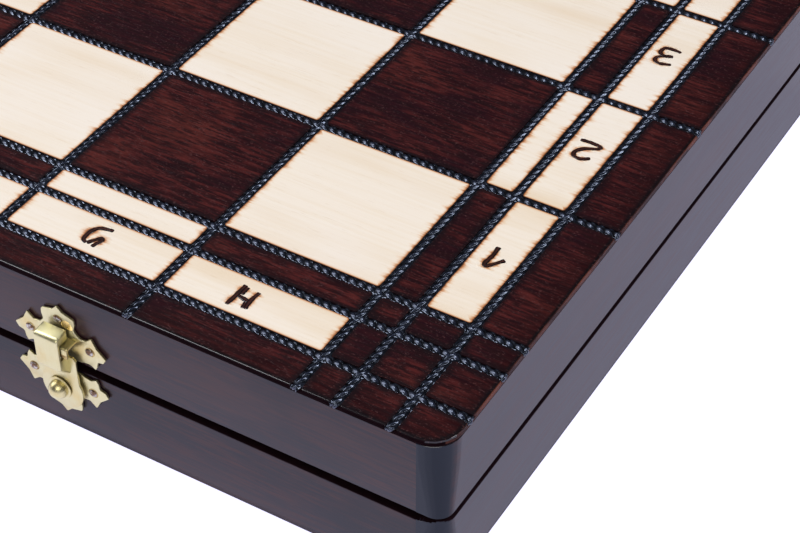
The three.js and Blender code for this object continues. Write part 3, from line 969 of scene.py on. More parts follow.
def sign_places(half):
    """(sign, centre, direction of its right) for every letter and digit of a half."""
    for i, letter in enumerate(FILES):
        dx, dy = SIGN_SHIFTS.get(letter, (0, 0))
        centre = (centre_of(X_EDGES, BORDERS + i) + dx * MM, centre_of(Y_EDGES, 1) + dy * MM)
        yield letter, centre, ((1, 0) if half is UPPER else (-1, 0))
    for j in range(4):
        digit = str(1 + j) if half is UPPER else str(8 - j)
        dx, dy = SIGN_SHIFTS.get(digit, (0.2, 0.8))
        for column, facing in ((1, 1), (LAST_COLUMN - 1, -1)):
            centre = (centre_of(X_EDGES, column) + dx * MM, centre_of(Y_EDGES, BORDERS + j) + dy * MM)
            yield digit, centre, (facing, 0)


# ---- box woodwork ----

def front_corner(side, radius, inset_by=0.0, ease=0.0, steps=7):
    """Plan points round a front corner, from the front face to the side face."""
    points = []
    for step in range(steps + 1):
        turn = step / steps * math.pi / 2
        x = HALF_W - radius + (radius - inset_by) * math.sin(turn)
        y = FRONT + radius - (radius - inset_by) * math.cos(turn)
        points.append((side * min(x, HALF_W - ease), y))
    return points


def board_outline(inset_by):
    """Plan of a board panel, moved in at its edges."""
    fold = FOLD - inset_by * 0.5
    right = front_corner(1, CORNER_TOP, inset_by)
    left = front_corner(-1, CORNER_TOP, inset_by)
    return [*right, (HALF_W - inset_by, fold), (-HALF_W + inset_by, fold), *reversed(left)]


def add_board(half):
    """The panel under the veneer: a thin lip over the walls and a core between them."""
    levels = ((VENEER + 0.2 * MM, 0.6), (VENEER + 0.5 * MM, 0.12), (LIP + 0.05 * MM, 0.05),
              (LIP + 0.1 * MM, 0.1))
    rings = [[half.out(x, y, -depth) for x, y in board_outline(d * MM)] for depth, d in levels]
    core_x, core_y = INNER_X - FIT, INNER_Y - FIT
    core = prism(rectangle(-core_x, core_x, -core_y, core_y), "z",
                 *sorted((half.z(4 * MM), half.z(LIP - 0.1 * MM))))
    bead = [[half.out(x, y, -depth * MM) for x, y in board_outline(d * MM)]
            for depth, d in ((0.9, 0.1), (0.15, 0.02), (0.02, 0.1), (0.02, 0.5), (0.9, 0.5))]
    parts = [loft(rings), core] + ([loft(bead, True)] if half is LOWER else [])
    mesh = closed_mesh(f"{half.name}_panel", *merged(parts))
    assign_faces(mesh, lambda c, n: c.y < GROOVE_BACK and n.y < -0.2, 1)
    assign_faces(mesh, lambda c, n: abs(c.x) < INNER_X and abs(n.z) > 0.9, 2)
    rim = [EDGE, GROOVE] if half is UPPER else [SIDE_STAIN, FRONT_STAIN]
    piece(f"{half.name}_panel", mesh, [*rim, INSIDE], half.body, "board_wood",
          [f"{half.name}_board"])


def run_out(relief, x):
    """Depth left of the front groove at a place across the end of a side wall."""
    past = min(max((abs(x) - INNER_X) / (HALF_W - 1.6 * MM - INNER_X), 0), 1)
    return relief * (1 - past ** 1.3)


def side_levels(relief, eased):
    """Levels of a side wall from its foot to the seam: depth, how far in in mm, and how
    far the outer edge is eased."""
    levels = [(WALL_FOOT, 0.1, 0), (WALL_FOOT + 0.1 * MM, 0, 0)]
    levels += [(WALL_FOOT + (RIM - relief - WALL_FOOT) * t, 0, 0) for t in (0.3, 0.65)]
    return levels + [(RIM - relief * (1 - t), 0, eased * max(0, 1.2 * t - 0.2) ** 2)
                     for t in np.linspace(0, 1, 19)]


def side_outline(side, relief, depth, inset_by, ease):
    """Plan of a side wall at one level: a wide corner radius by the board, a tight one by
    the seam, and the front groove running out across its end."""
    radius = CORNER_TOP + (CORNER_SEAM - CORNER_TOP) * (depth - WALL_FOOT) / (RIM - WALL_FOOT)
    radius = min(radius, WALL - 0.4 * MM)
    end = [(side * (INNER_X + (HALF_W - radius - INNER_X) * t), FRONT + inset_by * MM)
           for t in (0, 0.25, 0.5, 0.75)]
    cut = []
    for x, y in [*end, *front_corner(side, radius, inset_by * MM, ease)]:
        room = run_out(relief, x) if relief > MM else 0
        past = min(max((depth - (RIM - room)) / (0.3 * MM), 0), 1) if room > 0 else 0
        cut.append((x, y + past * min(3 * MM, 1.6 * room)))
    inner = [(side * INNER_X, FOLD), (side * INNER_X, FRONT + 5 * MM)]
    return [*inner, *cut, (side * (HALF_W - inset_by * MM - ease), FOLD)]


def add_side_wall(half, side, word, relief, eased):
    """Side wall, with its end grain on the front, and painted shade, near black, on the groove's run-out
    and the eased edges at the seam.
    """
    rings = [[(x, y, half.z(depth)) for x, y in side_outline(side, relief, depth, inset_by, ease)]
             for depth, inset_by, ease in side_levels(relief, eased)]
    name = f"{half.name}_{word}_side"
    mesh = closed_mesh(name, *loft(rings))

    def above(c, room):
        return (half.z(RIM - room) - c.z) * half.sign > 0

    def turned_away(n, least, most):
        return abs(n.z) < 0.3 and n.y < 0 and least < math.degrees(math.atan2(abs(n.x), -n.y)) < most

    least = -1
    for k, (most, _) in enumerate(CORNER_COATS):
        assign_faces(mesh, lambda c, n: turned_away(n, least, most), 3 + k)
        least = most
    # Painted shade: the eased edges at the seam and the groove's run-out take the near-black material.
    assign_faces(mesh, lambda c, n: above(c, eased * 0.9) and abs(n.z) > 0.1
                 or relief > MM and above(c, run_out(relief, c.x) + 0.02 * MM) and c.y < GROOVE_BACK, 1)
    assign_faces(mesh, lambda c, n: n.x * side < -0.9, 2)
    piece(name, mesh, [SIDE_STAIN, GROOVE, INSIDE, *END_STAINS], half.body, "side_wood",
          [f"{half.name}_{word}_wall"])


def add_front_wall(half, relief):
    """Front wall, with the outer part of its rim cut back for a finger groove."""
    foot, seam = WALL_FOOT, RIM
    back, step = FRONT + WALL, GROOVE_BACK
    corners = [(FRONT, foot), (FRONT, seam - relief), (step, seam - relief), (step, seam),
               (back, seam), (back, foot)]
    seam_radius = min(0.6 * MM, relief)
    outline = filleted(corners, [0.1 * MM, seam_radius, 0, 0.3 * MM * (relief > MM), 0.3 * MM, 0], 3)
    outline = [(y, half.z(depth)) for y, depth in outline]
    name = f"{half.name}_front"
    mesh = closed_mesh(name, *prism(outline, "x", -INNER_X, INNER_X))
    # Painted shade: the faces of the groove and the rim at the seam take the near-black material.
    rim_level = half.z(RIM - relief - 0.7 * seam_radius)
    assign_faces(mesh, lambda c, n: (rim_level - c.z) * half.sign > 0, 1)
    assign_faces(mesh, lambda c, n: n.y > 0.9 and c.y > step + MM, 2)
    piece(name, mesh, [FRONT_STAIN, GROOVE, INSIDE], half.body, "side_wood",
          [f"{half.name}_front_wall"])


HINGE_BOXES = [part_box(f"{side}_hinge_lower_leaf") for side in ("left", "right")]


def back_stations():
    """X stations along a back wall: (x, whether the hinge mortise is cut there)."""
    stations = [(-INNER_X + 0.08 * MM, False)]
    for low, high in HINGE_BOXES:
        stations += [(low.x - FIT, False), (low.x - FIT, True), (high.x + FIT, True), (high.x + FIT, False)]
    return [*stations, (INNER_X - 0.08 * MM, False)]


def add_back_wall(half):
    """Back wall, mortised for the hinge leaves and hollowed for their knuckles."""
    foot, seam, inner = WALL_FOOT, RIM, INNER_Y
    mortise, barrel = 1.1 * MM, 2.5 * MM
    plain = [(FOLD, foot), (FOLD, seam - barrel), (FOLD, seam - mortise), (FOLD, seam - 0.4 * MM),
             (FOLD - 0.4 * MM, seam), (inner + 0.4 * MM, seam), (inner, seam - 0.3 * MM), (inner, foot)]
    cut = [(FOLD, foot), (FOLD, seam - barrel), (FOLD - 1.6 * MM, seam - 1.9 * MM),
           (FOLD - 2.1 * MM, seam - mortise), (FOLD - 2.2 * MM, seam - mortise),
           (inner + 0.1 * MM, seam - mortise), (inner, seam - mortise - 0.1 * MM), (inner, foot)]
    rings = [[(x, y, half.z(depth)) for y, depth in (cut if notched else plain)]
             for x, notched in back_stations()]
    name = f"{half.name}_back"
    mesh = closed_mesh(name, *loft(rings))
    # Painted shade: the faces near the seam take the near-black material.
    rim_level = half.z(RIM - 1.2 * MM)
    assign_faces(mesh, lambda c, n: (rim_level - c.z) * half.sign > 0, 1)
    assign_faces(mesh, lambda c, n: n.y < -0.9, 2)
    piece(name, mesh, [FRONT_STAIN, GROOVE, INSIDE], half.body, "side_wood",
          [f"{half.name}_back_wall"])


# At the seam: how far the front rim is cut back, and how far the sides' edges are eased
SEAMS = ((UPPER, 0.1 * MM, 0.1 * MM), (LOWER, 2.3 * MM, 2.0 * MM))

for half, relief, eased in SEAMS:
    add_board(half)
    add_cells(half, True)
    add_cells(half, False)
    add_lines(half)
    add_signs(half)
    add_side_wall(half, -1, "left", relief, eased)
    add_side_wall(half, 1, "right", relief, eased)
    add_front_wall(half, relief)
    add_back_wall(half)


# ---- latches ----

# Half outline of a stamped plate in mm, from the tip of its long lobe to its straight
# edge, with the radius at each corner
PLATE_OUTLINE = (
    (0, 11.8, 0.5), (1.6, 10.1, 0.7), (5.2, 9.1, 0.9), (5.3, 7.2, 0.8), (4.8, 5.3, 1.2), (6.2, 3.6, 1.6),
    (8.2, 3.4, 1.2), (10.3, 5.2, 0.4), (11.7, 2.3, 0.9), (14.5, -0.3, 0.4), (13.6, -1.9, 0.5),
    (11.8, -2.3, 0.9), (11.5, -4.2, 0.6), (10.9, -5.4, 0.3), (9.2, -4.3, 1.5), (7.2, -4.6, 0.8),
    (5.8, -5.1, 0),
)
PLATE_LOBE = PLATE_OUTLINE[0][1] * MM
SHEET = 0.8 * MM
HEAD_SIDES = 28
PLATE_BACK = FRONT - 0.3 * MM
PLATE_FACE = PLATE_BACK - SHEET
LEVER_BACK = PLATE_FACE - SHEET
LEVER_FACE = LEVER_BACK - SHEET
CAP_FACE = LEVER_BACK - 4.6 * MM


def plate_part(x, z, up, tilt=0.0):
    """A latch plate with its long lobe up (1) or down (-1), tilted a few degrees."""
    half_outline = in_mm([(u, v) for u, v, _ in PLATE_OUTLINE])
    radii = [r * MM for *_, r in PLATE_OUTLINE]
    outline = half_outline + [(-u, v) for u, v in reversed(half_outline[1:])]
    rounded = filleted(outline, radii + list(reversed(radii[1:])), 4)
    c, s = math.cos(math.radians(tilt)), math.sin(math.radians(tilt))
    placed = [(x + c * u - s * up * v, z + s * u + c * up * v) for u, v in rounded]
    return prism(placed, "y", PLATE_FACE, PLATE_BACK, 0.22 * MM)


def on_front(part, x, y, z):
    """Stands a turning about Z out from the front, along -Y."""
    return moved(part, Matrix.Translation((x, y, z)) @ Matrix.Rotation(math.pi / 2, 4, "X"))


def nail_parts(x, z):
    """A nail's head, and round it a dark ring of painted shade, set a little off centre."""
    head = [(0, 0), (1.1, 0), (1.2, 0.1), (1.05, 0.26), (0.7, 0.36), (0.3, 0.4), (0, 0.41)]
    ring_outline = [(0, -0.2), (1.45, -0.2), (1.5, 0.03), (1.3, 0.05), (0, 0.06)]
    # The ring is set off centre so that its painted shade shows on one side of the head.
    lean = RNG.uniform(0.1, 0.35) * MM
    return [on_front(turned(in_mm(head), HEAD_SIDES), x, PLATE_FACE, z),
            on_front(turned(in_mm(ring_outline), HEAD_SIDES), x + lean, PLATE_FACE, z + lean * 0.6)]


def add_nails(side, body, places):
    """Nail heads of one plate, each on a dark ring of painted shade."""
    heads, shade_rings = zip(*[nail_parts(x, z) for x, z in places])
    where = "keeper" if body == "upper_half" else "base"
    solid_piece(f"{side}_{where}_nails", merged(heads), STEEL, body, "steel", sharp_angle=50)
    # The dark rings are painted shade round the heads.
    solid_piece(f"{side}_{where}_nail_shade_rings", merged(shade_rings), TARNISH_AND_SHADE, body, "brass")


def root_part(x, z):
    """The bent root of the hook, which rises out of the plate beside its top nail."""
    rings = []
    for u in np.linspace(0, 1, 14):
        across, swell = (1.7 + 3.6 * u) * MM, math.sin(math.pi * u) ** 0.5
        high, low, rise = 6.9 + 1.3 * swell, 5.9 - 0.4 * u, 0.12 + 0.4 * swell
        ring = [(x + across, PLATE_FACE + (0.05 - rise * t) * MM, z + (high + (low - high) * t) * MM)
                for t in np.linspace(0, 1, 9)]
        rings.append([*ring, (x + across, PLATE_FACE + 0.3 * MM, z + low * MM),
                      (x + across, PLATE_FACE + 0.3 * MM, z + high * MM)])
    return loft(rings)


def add_keeper(side):
    """The lid's plate, with its hook that stands out and curls down."""
    low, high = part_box(f"{side}_latch_keeper")
    x, z = (low.x + high.x) / 2, high.z - PLATE_LOBE
    top, out = z + 1.9 * MM, PLATE_FACE - 4.0 * MM
    root = PLATE_BACK - 0.3 * MM
    curl = in_mm([(0, 0), (-0.1, -2), (-0.1, -3.3), (0.7, -3.3), (0.8, -0.8)], (out, top))
    hook = filleted([(root, top), *curl, (root, top - SHEET)],
                    [0, 1.2 * MM, 0, 0.3 * MM, 0.3 * MM, 0.5 * MM, 0], 5)
    hook = prism(hook, "x", x - 1.8 * MM, x + 5.8 * MM, 0.25 * MM)
    plate = plate_part(x + 0.5 * MM, z - 0.1 * MM, 1, -1)
    mesh = closed_mesh(f"{side}_keeper", *merged([plate, hook, root_part(x, z)]))
    # Painted shade: the hook's underside and the lower front of its curl take the dark brass.
    assign_faces(mesh, lambda c, n: c.z < top + 0.2 * MM and (c.y < PLATE_FACE - 0.5 * MM and n.z < -0.3
                 or c.y < out + 0.1 * MM and c.z < top - 2.05 * MM), 1)
    # Painted reflection: the rising root of the hook takes the brighter gold.
    assign_faces(mesh, lambda c, n: c.z > z + 5.5 * MM and c.y < PLATE_FACE - 0.03 * MM, 2)
    piece(f"{side}_keeper", mesh, [BRASS, TARNISH_AND_SHADE, BRASS_PAINTED_REFLECTION], "upper_half", "brass",
          [f"{side}_latch_keeper"])
    add_nails(side, "upper_half", in_mm([(-9.2, 0.1), (0.7, 7.2), (9.9, 0)], (x, z)))


def add_base(side):
    """The lower half's plate, under the lever."""
    low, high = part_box(f"{side}_latch_base")
    x, z = (low.x + high.x) / 2, low.z + PLATE_LOBE
    plate = plate_part(x - 0.2 * MM, z - 0.3 * MM, -1, -1.6)
    solid_piece(f"{side}_base", plate, BRASS, "lower_half", "brass", f"{side}_latch_base")
    add_nails(side, "lower_half", in_mm([(-10, 0.2), (9.4, -0.4)], (x, z)))


def carved(name, solid, cutters):
    """A closed mesh with other closed parts cut out of it."""
    base = linked(name, closed_mesh(name, *solid))
    tools = []
    for cutter in cutters:
        tool = linked("tool", closed_mesh("tool", *cutter))
        tools.append(tool)
        modifier = base.modifiers.new("cut", "BOOLEAN")
        modifier.operation, modifier.object, modifier.solver = "DIFFERENCE", tool, "EXACT"
    result = bpy.data.meshes.new_from_object(base.evaluated_get(bpy.context.evaluated_depsgraph_get()))
    for thing in (base, *tools):
        bpy.data.objects.remove(thing)
    return result


def lever_foot(x, z):
    """The lever's flat sheet: round about the rivet, with a flange beside the cap."""
    foot = []
    for degrees in range(-200, 31, 10):
        turn = math.radians(degrees)
        foot.append((x + 0.5 * MM + 6.6 * MM * math.cos(turn), z - 0.2 * MM + 6.7 * MM * math.sin(turn)))
    foot += in_mm([(6.1, 7), (6.1, 11.6), (5.2, 12.6), (3.2, 12.6), (-3.4, 8), (-5, 6)], (x, z))
    return prism(filleted(foot, 0.5 * MM, 3), "y", LEVER_FACE, LEVER_BACK, 0.2 * MM)


def add_lever(side, x, z):
    """Stamped swing lever: its foot, and a hollow cap raised on it, open on one side."""
    left, right = x - 3.6 * MM, x + 4.0 * MM
    side_view = [(LEVER_BACK, z + 21.2 * MM), (CAP_FACE, z + 20.9 * MM),
                 (CAP_FACE + 0.1 * MM, z + 10.2 * MM), (LEVER_FACE + 0.3 * MM, z + 6.2 * MM),
                 (LEVER_BACK, z + 6.2 * MM)]
    side_view = filleted(side_view, [0, 1.5 * MM, 1.6 * MM, 0.8 * MM, 0], 6)
    cap = prism(side_view, "x", left, right, 0.5 * MM, 3)
    deep = (CAP_FACE + 0.9 * MM, LEVER_BACK + MM)
    window = eased_block((x - 2.7 * MM, x + 6 * MM), deep, (z + 13.3 * MM, z + 18.6 * MM), 0.1 * MM)
    inside = eased_block((left + SHEET, right - SHEET), deep, (z + 9 * MM, z + 20.1 * MM), 0.1 * MM)
    name, body = f"{side}_lever_cap", f"{side}_lever"
    mesh = carved(name, cap, [window, inside])
    # Painted shade: the inside faces of the cap take the dark brass.
    assign_faces(mesh, lambda c, n: CAP_FACE + 0.7 * MM < c.y < LEVER_BACK - 0.05 * MM
                 and left + 0.6 * MM < c.x < right - 0.6 * MM
                 and z + 8 * MM < c.z < z + 20.4 * MM, 1)
    piece(name, mesh, [BRASS, TARNISH_AND_SHADE], body, "brass", sharp_angle=40)
    solid_piece(f"{side}_lever_foot", lever_foot(x, z), BRASS, body, "brass", f"{side}_latch_lever")


def add_rivet(side, x, z):
    """The domed rivet that the lever swings on."""
    profile = [(0, -6), (1.2, -6), (1.2, 0), (3.5, 0), (3.6, 0.12), (3.55, 0.3), (3.2, 0.4), (2.7, 0.42)]
    dome = [(2.8 * math.cos(a), 0.7 + 2.7 * math.sin(a)) for a in np.radians(range(-10, 90, 10))]
    rivet = turned(in_mm([*profile, *dome, (0, 3.4)]), 40)
    rivet = on_front(rivet, x, LEVER_FACE - 0.3 * MM, z)
    solid_piece(f"{side}_rivet", rivet, BRASS, "lower_half", "brass", f"{side}_latch_rivet",
                sharp_angle=50)


for side in ("left", "right"):
    low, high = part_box(f"{side}_latch_rivet")
    middle = (low + high) / 2
    add_keeper(side)
    add_base(side)
    add_lever(side, middle.x, middle.z)
    add_rivet(side, middle.x, middle.z)


# ---- hinges ----

def tube_x(outer, bore, x0, x1, y, z, ease=0.15 * MM):
    """A knuckle along X with a bore."""
    rings = []
    for x, r in ((x0, outer - ease), (x0 + ease, outer), (x1 - ease, outer), (x1, outer - ease),
                 (x1, bore), (x0, bore)):
        rings.append([(x, y + r * math.cos(t), z + r * math.sin(t))
                      for t in (2 * math.pi * k / 32 for k in range(32))])
    return loft(rings, endless=True)


def screw_parts(half, x, y):
    """A screw's head in a leaf, and dark crossed bars on it for its slots."""
    head = turned(in_mm([(0, -0.5), (1.2, -0.5), (1.75, 0.02), (1.6, 0.08), (0, 0.1)]), HEAD_SIDES)
    bars = [eased_block((-a * MM, a * MM), (-b * MM, b * MM), (0.02 * MM, 0.13 * MM), 0.05 * MM)
            for a, b in ((1.0, 0.2), (0.2, 1.0))]
    place = Matrix.Translation((x, y, half.z(RIM)))
    if half is UPPER:
        place = place @ Matrix.Rotation(math.pi, 4, "X")
    return moved(head, place), moved(merged(bars), place)


def add_screws(side, which, half, places):
    """The screws of one leaf, with dark bars for their slots."""
    heads, slots = zip(*[screw_parts(half, x, y) for x, y in places])
    name = f"{side}_{which}_screws"
    mesh = closed_mesh(name, *merged([*heads, *slots]))
    head_faces = sum(len(faces) for _, faces in heads)
    # The slot bars take the dark brass.
    for index, face in enumerate(mesh.polygons):
        face.material_index = int(index >= head_faces)
    piece(name, mesh, [STEEL, TARNISH_AND_SHADE], half.body, "steel")


def add_leaf(side, which, half, low, high, axis_y, axis_z):
    """One leaf of a hinge in its rim, with its knuckles and two screws."""
    third = (high.x - low.x) / 3
    if half is LOWER:
        spans = [(low.x, low.x + third), (low.x + 2 * third, high.x)]
    else:
        spans = [(low.x + third + FIT, low.x + 2 * third - FIT)]
    levels = sorted((half.z(RIM - 0.8 * MM), half.z(RIM)))
    inner, outer = INNER_Y + FIT, axis_y - 2.65 * MM
    outline = filleted(rectangle(low.x, high.x, inner, outer), [0.8 * MM, 0.8 * MM, 0, 0], 4)
    parts = [prism(outline, "z", *levels, 0.12 * MM)]
    for x0, x1 in spans:
        neck = rectangle(x0, x1, outer - 0.6 * MM, axis_y - 1.35 * MM)
        parts.append(prism(neck, "z", *levels, 0.05 * MM))
        parts.append(tube_x(2 * MM, 1.15 * MM, x0, x1, axis_y, axis_z))
    solid_piece(f"{side}_{which}_leaf", merged(parts), BRASS, half.body, "brass",
                f"{side}_hinge_{which}_leaf")
    add_screws(side, which, half, [(x, (inner + outer) / 2) for x in (low.x + 6 * MM, high.x - 6 * MM)])


for side in ("left", "right"):
    low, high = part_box(f"{side}_hinge_lower_leaf")
    pin_low, pin_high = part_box(f"{side}_hinge_pin")
    axis_y, axis_z = (pin_low.y + pin_high.y) / 2, (pin_low.z + pin_high.z) / 2
    add_leaf(side, "lower", LOWER, low, high, axis_y, axis_z)
    add_leaf(side, "upper", UPPER, low, high, axis_y, axis_z)
    length = (pin_high.x - pin_low.x) / MM
    profile = [(0, 0), (0.5, 0.02), (0.85, 0.3), (0.85, length - 0.3), (0.5, length - 0.02), (0, length)]
    place = Matrix.Translation((pin_low.x, axis_y, axis_z)) @ Matrix.Rotation(math.pi / 2, 4, "Y")
    pin = moved(turned(in_mm(profile), 24), place)
    solid_piece(f"{side}_pin", pin, STEEL, "lower_half", "steel", f"{side}_hinge_pin")


# ---- chessmen ----

# Each kind's height, foot radius and head radius in mm, then its turning above the foot
# as (radius, height)
MEN = {
    "pawn": (45, 13, 7.5, (
        (6.4, 10.5), (5.2, 14), (4.4, 19), (4.3, 24), (4.8, 25.6), (7.2, 26), (7.6, 26.8), (7.2, 27.6),
        (5, 28), (4.9, 29.4), (6.2, 31.6), (7.2, 34.4), (7.5, 37.3), (7.2, 40.2), (6.2, 42.7),
        (4.3, 44.3), (2, 44.9))),
    "rook": (48, 14.5, 9.5, (
        (8.4, 11), (7.2, 15), (6.6, 22), (6.6, 29), (7.2, 31), (8.8, 31.4), (9.1, 32.3), (8.7, 33.2),
        (7.4, 33.6), (7.6, 35.2), (9, 37), (9.4, 38.6), (9.5, 44.4), (9.5, 47.7), (9.2, 48), (6.9, 48),
        (6.7, 47.7), (6.6, 44.2), (4, 43.8))),
    "bishop": (66, 14.5, 7, (
        (7.6, 11), (6, 15), (5, 22), (4.7, 34), (5.2, 37), (7.6, 37.4), (8, 38.3), (7.4, 39.2),
        (5.6, 39.6), (5.8, 40.8), (6.6, 41.1), (6.8, 41.7), (6.4, 42.3), (4.8, 42.8), (5.2, 44.4),
        (6.6, 47.4), (7, 50.5), (6.8, 53.4), (6, 56.2), (4.6, 58.6), (2.8, 60.6), (1.7, 61.4),
        (2.2, 62.6), (2.4, 63.8), (1.9, 65.2), (1, 65.9))),
    "queen": (78, 16, 7.5, (
        (8.6, 11.5), (6.6, 16), (5.4, 24), (5, 45), (5.6, 49.4), (8.6, 49.8), (9, 50.8), (8.4, 51.8),
        (6.2, 52.2), (6.4, 53.6), (7.3, 54), (7.5, 54.6), (7, 55.2), (5, 55.8), (5.2, 59), (6.2, 64),
        (7.4, 68.6), (7.5, 69.4), (6.4, 69.2), (5.6, 68.6), (4.8, 70.6), (3.2, 72), (1.9, 72.6),
        (2.6, 73.6), (3, 75), (2.6, 76.6), (1.4, 77.8))),
    "king": (88, 16.5, 7.5, (
        (8.9, 11.5), (6.9, 16), (5.7, 24), (5.2, 48), (5.8, 52.4), (8.8, 52.8), (9.2, 53.8),
        (8.6, 54.8), (6.4, 55.2), (6.6, 56.8), (7.4, 57.2), (7.6, 57.8), (7.1, 58.5), (5.1, 59),
        (5.4, 63), (6.6, 69), (7.5, 73), (7.3, 73.8), (6, 74.8), (3.6, 76.2), (2.2, 76.9))),
    "knight": (58, 14.5, 6, ((9.6, 10.5), (9.2, 12.6), (9.9, 13), (10, 14), (9.4, 14.9), (8, 15.2))),
}
# In mm, side views of the knight's head and of the king's cross
KNIGHT_HEAD = (
    (-7.6, 14.4), (7.4, 14.4), (7.6, 18), (6.2, 22), (5.2, 26), (6.2, 29.6), (9, 32.4), (11.6, 35),
    (12.2, 37.6), (11.2, 39.8), (9, 41.2), (6.6, 44.2), (4.4, 48), (3.6, 50.6), (1.6, 57.4),
    (-0.4, 53.6), (-2.2, 52.8), (-3.6, 50.6), (-5.6, 49.6), (-6.4, 47), (-8.2, 45.2), (-8.4, 42.2),
    (-10, 39.6), (-9.8, 36), (-11, 33), (-10.2, 28.8), (-10.6, 24.6), (-8.8, 19.4),
)
CROSS = (
    (-1.5, 75.6), (1.5, 75.6), (1.1, 80.2), (3.8, 79.8), (3.8, 84), (1.1, 83.6), (1.5, 87.9), (-1.5, 87.9),
    (-1.1, 83.6), (-3.8, 84), (-3.8, 79.8), (-1.1, 80.2),
)
BACK_RANK = ("rook", "knight", "bishop", "queen", "king", "bishop", "knight", "rook")
# A tray has sixteen slots across, this far apart in mm, and the men lie in every other one
SLOT_PITCH = 28.6


def man_profile(kind):
    """A man's whole turning in mm: its weighted foot, then what its kind adds."""
    _, base, _, body = MEN[kind]
    foot = ((0, 0.4), (base - 3, 0.4), (base - 2.6, 0), (base - 0.7, 0), (base, 0.7), (base, 3),
            (base - 0.6, 3.7), (base * 0.87, 4), (base * 0.86, 4.9), (base * 0.8, 5.6), (base * 0.68, 7),
            (base * 0.6, 8.8))
    top = body[-1][1]
    return [*foot, *body, (0, top + 0.05)]


def battlements(angle, radius, height):
    """Notches in the rook's rim."""
    notched = math.degrees(angle) % 60 < 20
    return radius, min(height, 44.6) if notched and radius > 6.5 else height


def mitre_cut(angle, radius, height):
    """The bishop's slanting cut."""
    across = radius * math.cos(angle)
    near = abs(height - (50.6 + 0.9 * across)) < 0.9
    return (radius - 2.2 if across > 1.5 and near else radius), height


def coronet(angle, radius, height):
    """Points on the queen's rim."""
    raised = 0.9 * max(0.0, math.cos(8 * angle)) if 6 < radius and 68.9 < height < 70 else 0
    return radius, height + raised


def finer(profile, low, high, parts):
    """A profile with each stretch between two heights cut into parts."""
    fine = []
    for (r0, h0), (r1, h1) in zip(profile, profile[1:]):
        count = parts if low < h0 < high else 1
        fine += [(r0 + (r1 - r0) * k / count, h0 + (h1 - h0) * k / count) for k in range(count)]
    return [*fine, profile[-1]]


def man_mesh(kind):
    """A standing man, turned and carved as its kind is."""
    profile = man_profile(kind)
    if kind == "bishop":
        profile = finer(profile, 44, 58, 4)
    shape = {"rook": battlements, "bishop": mitre_cut, "queen": coronet}.get(kind)
    parts = [turned(profile, 54 if kind == "rook" else 48, shape)]
    if kind == "king":
        parts.append(prism(filleted(CROSS, 0.4, 2), "y", -1.5, 1.5, 0.4))
    if kind == "knight":
        parts.append(prism(filleted(KNIGHT_HEAD, 0.9, 2), "y", -5.5, 5.5, 2.2, 4))
        for side in (-1, 1):
            eye = turned([(0, 0), (1.1, 0), (1, 0.4), (0.5, 0.7), (0, 0.75)], 16)
            sideways = Matrix.Rotation(-side * math.pi / 2, 4, "X")
            parts.append(moved(eye, Matrix.Translation((4.6, side * 5.3, 42.4)) @ sideways))
    points, faces = merged(parts)
    return closed_mesh(kind, [(x * MM, y * MM, z * MM) for x, y, z in points], faces)


def lying_place(kind, half, x, y, towards):
    """How a man lies, in mm: foot in its pocket, head on the tray. Returns its placing,
    the level of its foot's middle and its slope."""
    height, base, head, _ = MEN[kind]
    foot_level = TRAY_FLOOR + 2.1 + base
    head_level = TRAY_TOP + 0.5 + head
    slope = math.atan2(foot_level - head_level, height * 0.85)
    tilt = Matrix.Rotation(half.sign * towards * slope, 4, "X")
    turn = Matrix.Rotation(0 if towards > 0 else math.pi, 4, "Z")
    stand_to_lie = Matrix.Rotation(-math.pi / 2, 4, "X")
    place = Matrix.Translation((x * MM, y * MM, half.z(foot_level * MM)))
    return place @ tilt @ turn @ stand_to_lie, foot_level, slope


def layout(half):
    """Where the men of a half lie, in mm: (kind, letter, x, y, direction of the head)."""
    first = 0 if half is LOWER else 1
    outer = INNER_Y / MM - 3
    rows = ((outer, -1), (-outer, 1)) if half is LOWER else ((-3, -1), (3, 1))
    for file_index, letter in enumerate("abcdefgh"):
        x = (first + 2 * file_index - 7.5) * SLOT_PITCH
        yield BACK_RANK[file_index], letter, x, *rows[0]
        yield "pawn", letter, x, *rows[1]


MAN_MESHES = {kind: man_mesh(kind) for kind in MEN}


def add_men(half, side):
    """The sixteen men of one side, lying in their half."""
    for kind, letter, x, y, towards in layout(half):
        node = f"{side}_{kind}" if kind in ("king", "queen") else f"{side}_{kind}_{letter}"
        mesh = MAN_MESHES[kind].copy()
        place, _, _ = lying_place(kind, half, x, y, towards)
        mesh.materials.append(MEN_WOOD[side])
        mesh.shade_smooth()
        mesh.set_sharp_from_angle(angle=math.radians(50))
        man = linked(f"{node}_turned", mesh)
        man.matrix_world = place
        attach(man, half.body)
        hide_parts(node)


# ---- trays ----

# In mm: the grid of the flock, and the room round each man
TRAY_STEP = 1.25
CLEARANCE = 0.55


def envelope(kind):
    """Radius of a man at each quarter millimetre of height, slightly widened."""
    height, *_ = MEN[kind]
    profile = man_profile(kind)
    if kind == "knight":
        profile = profile[:-1] + [(6, 17), (6, 57)]
    heights = np.arange(-1, height + 1.25, 0.25)
    radii = np.zeros_like(heights)
    for (r0, h0), (r1, h1) in zip(profile, profile[1:]):
        near = (heights >= min(h0, h1) - 1) & (heights <= max(h0, h1) + 1)
        radii[near] = np.maximum(radii[near], max(r0, r1))
    return heights, radii


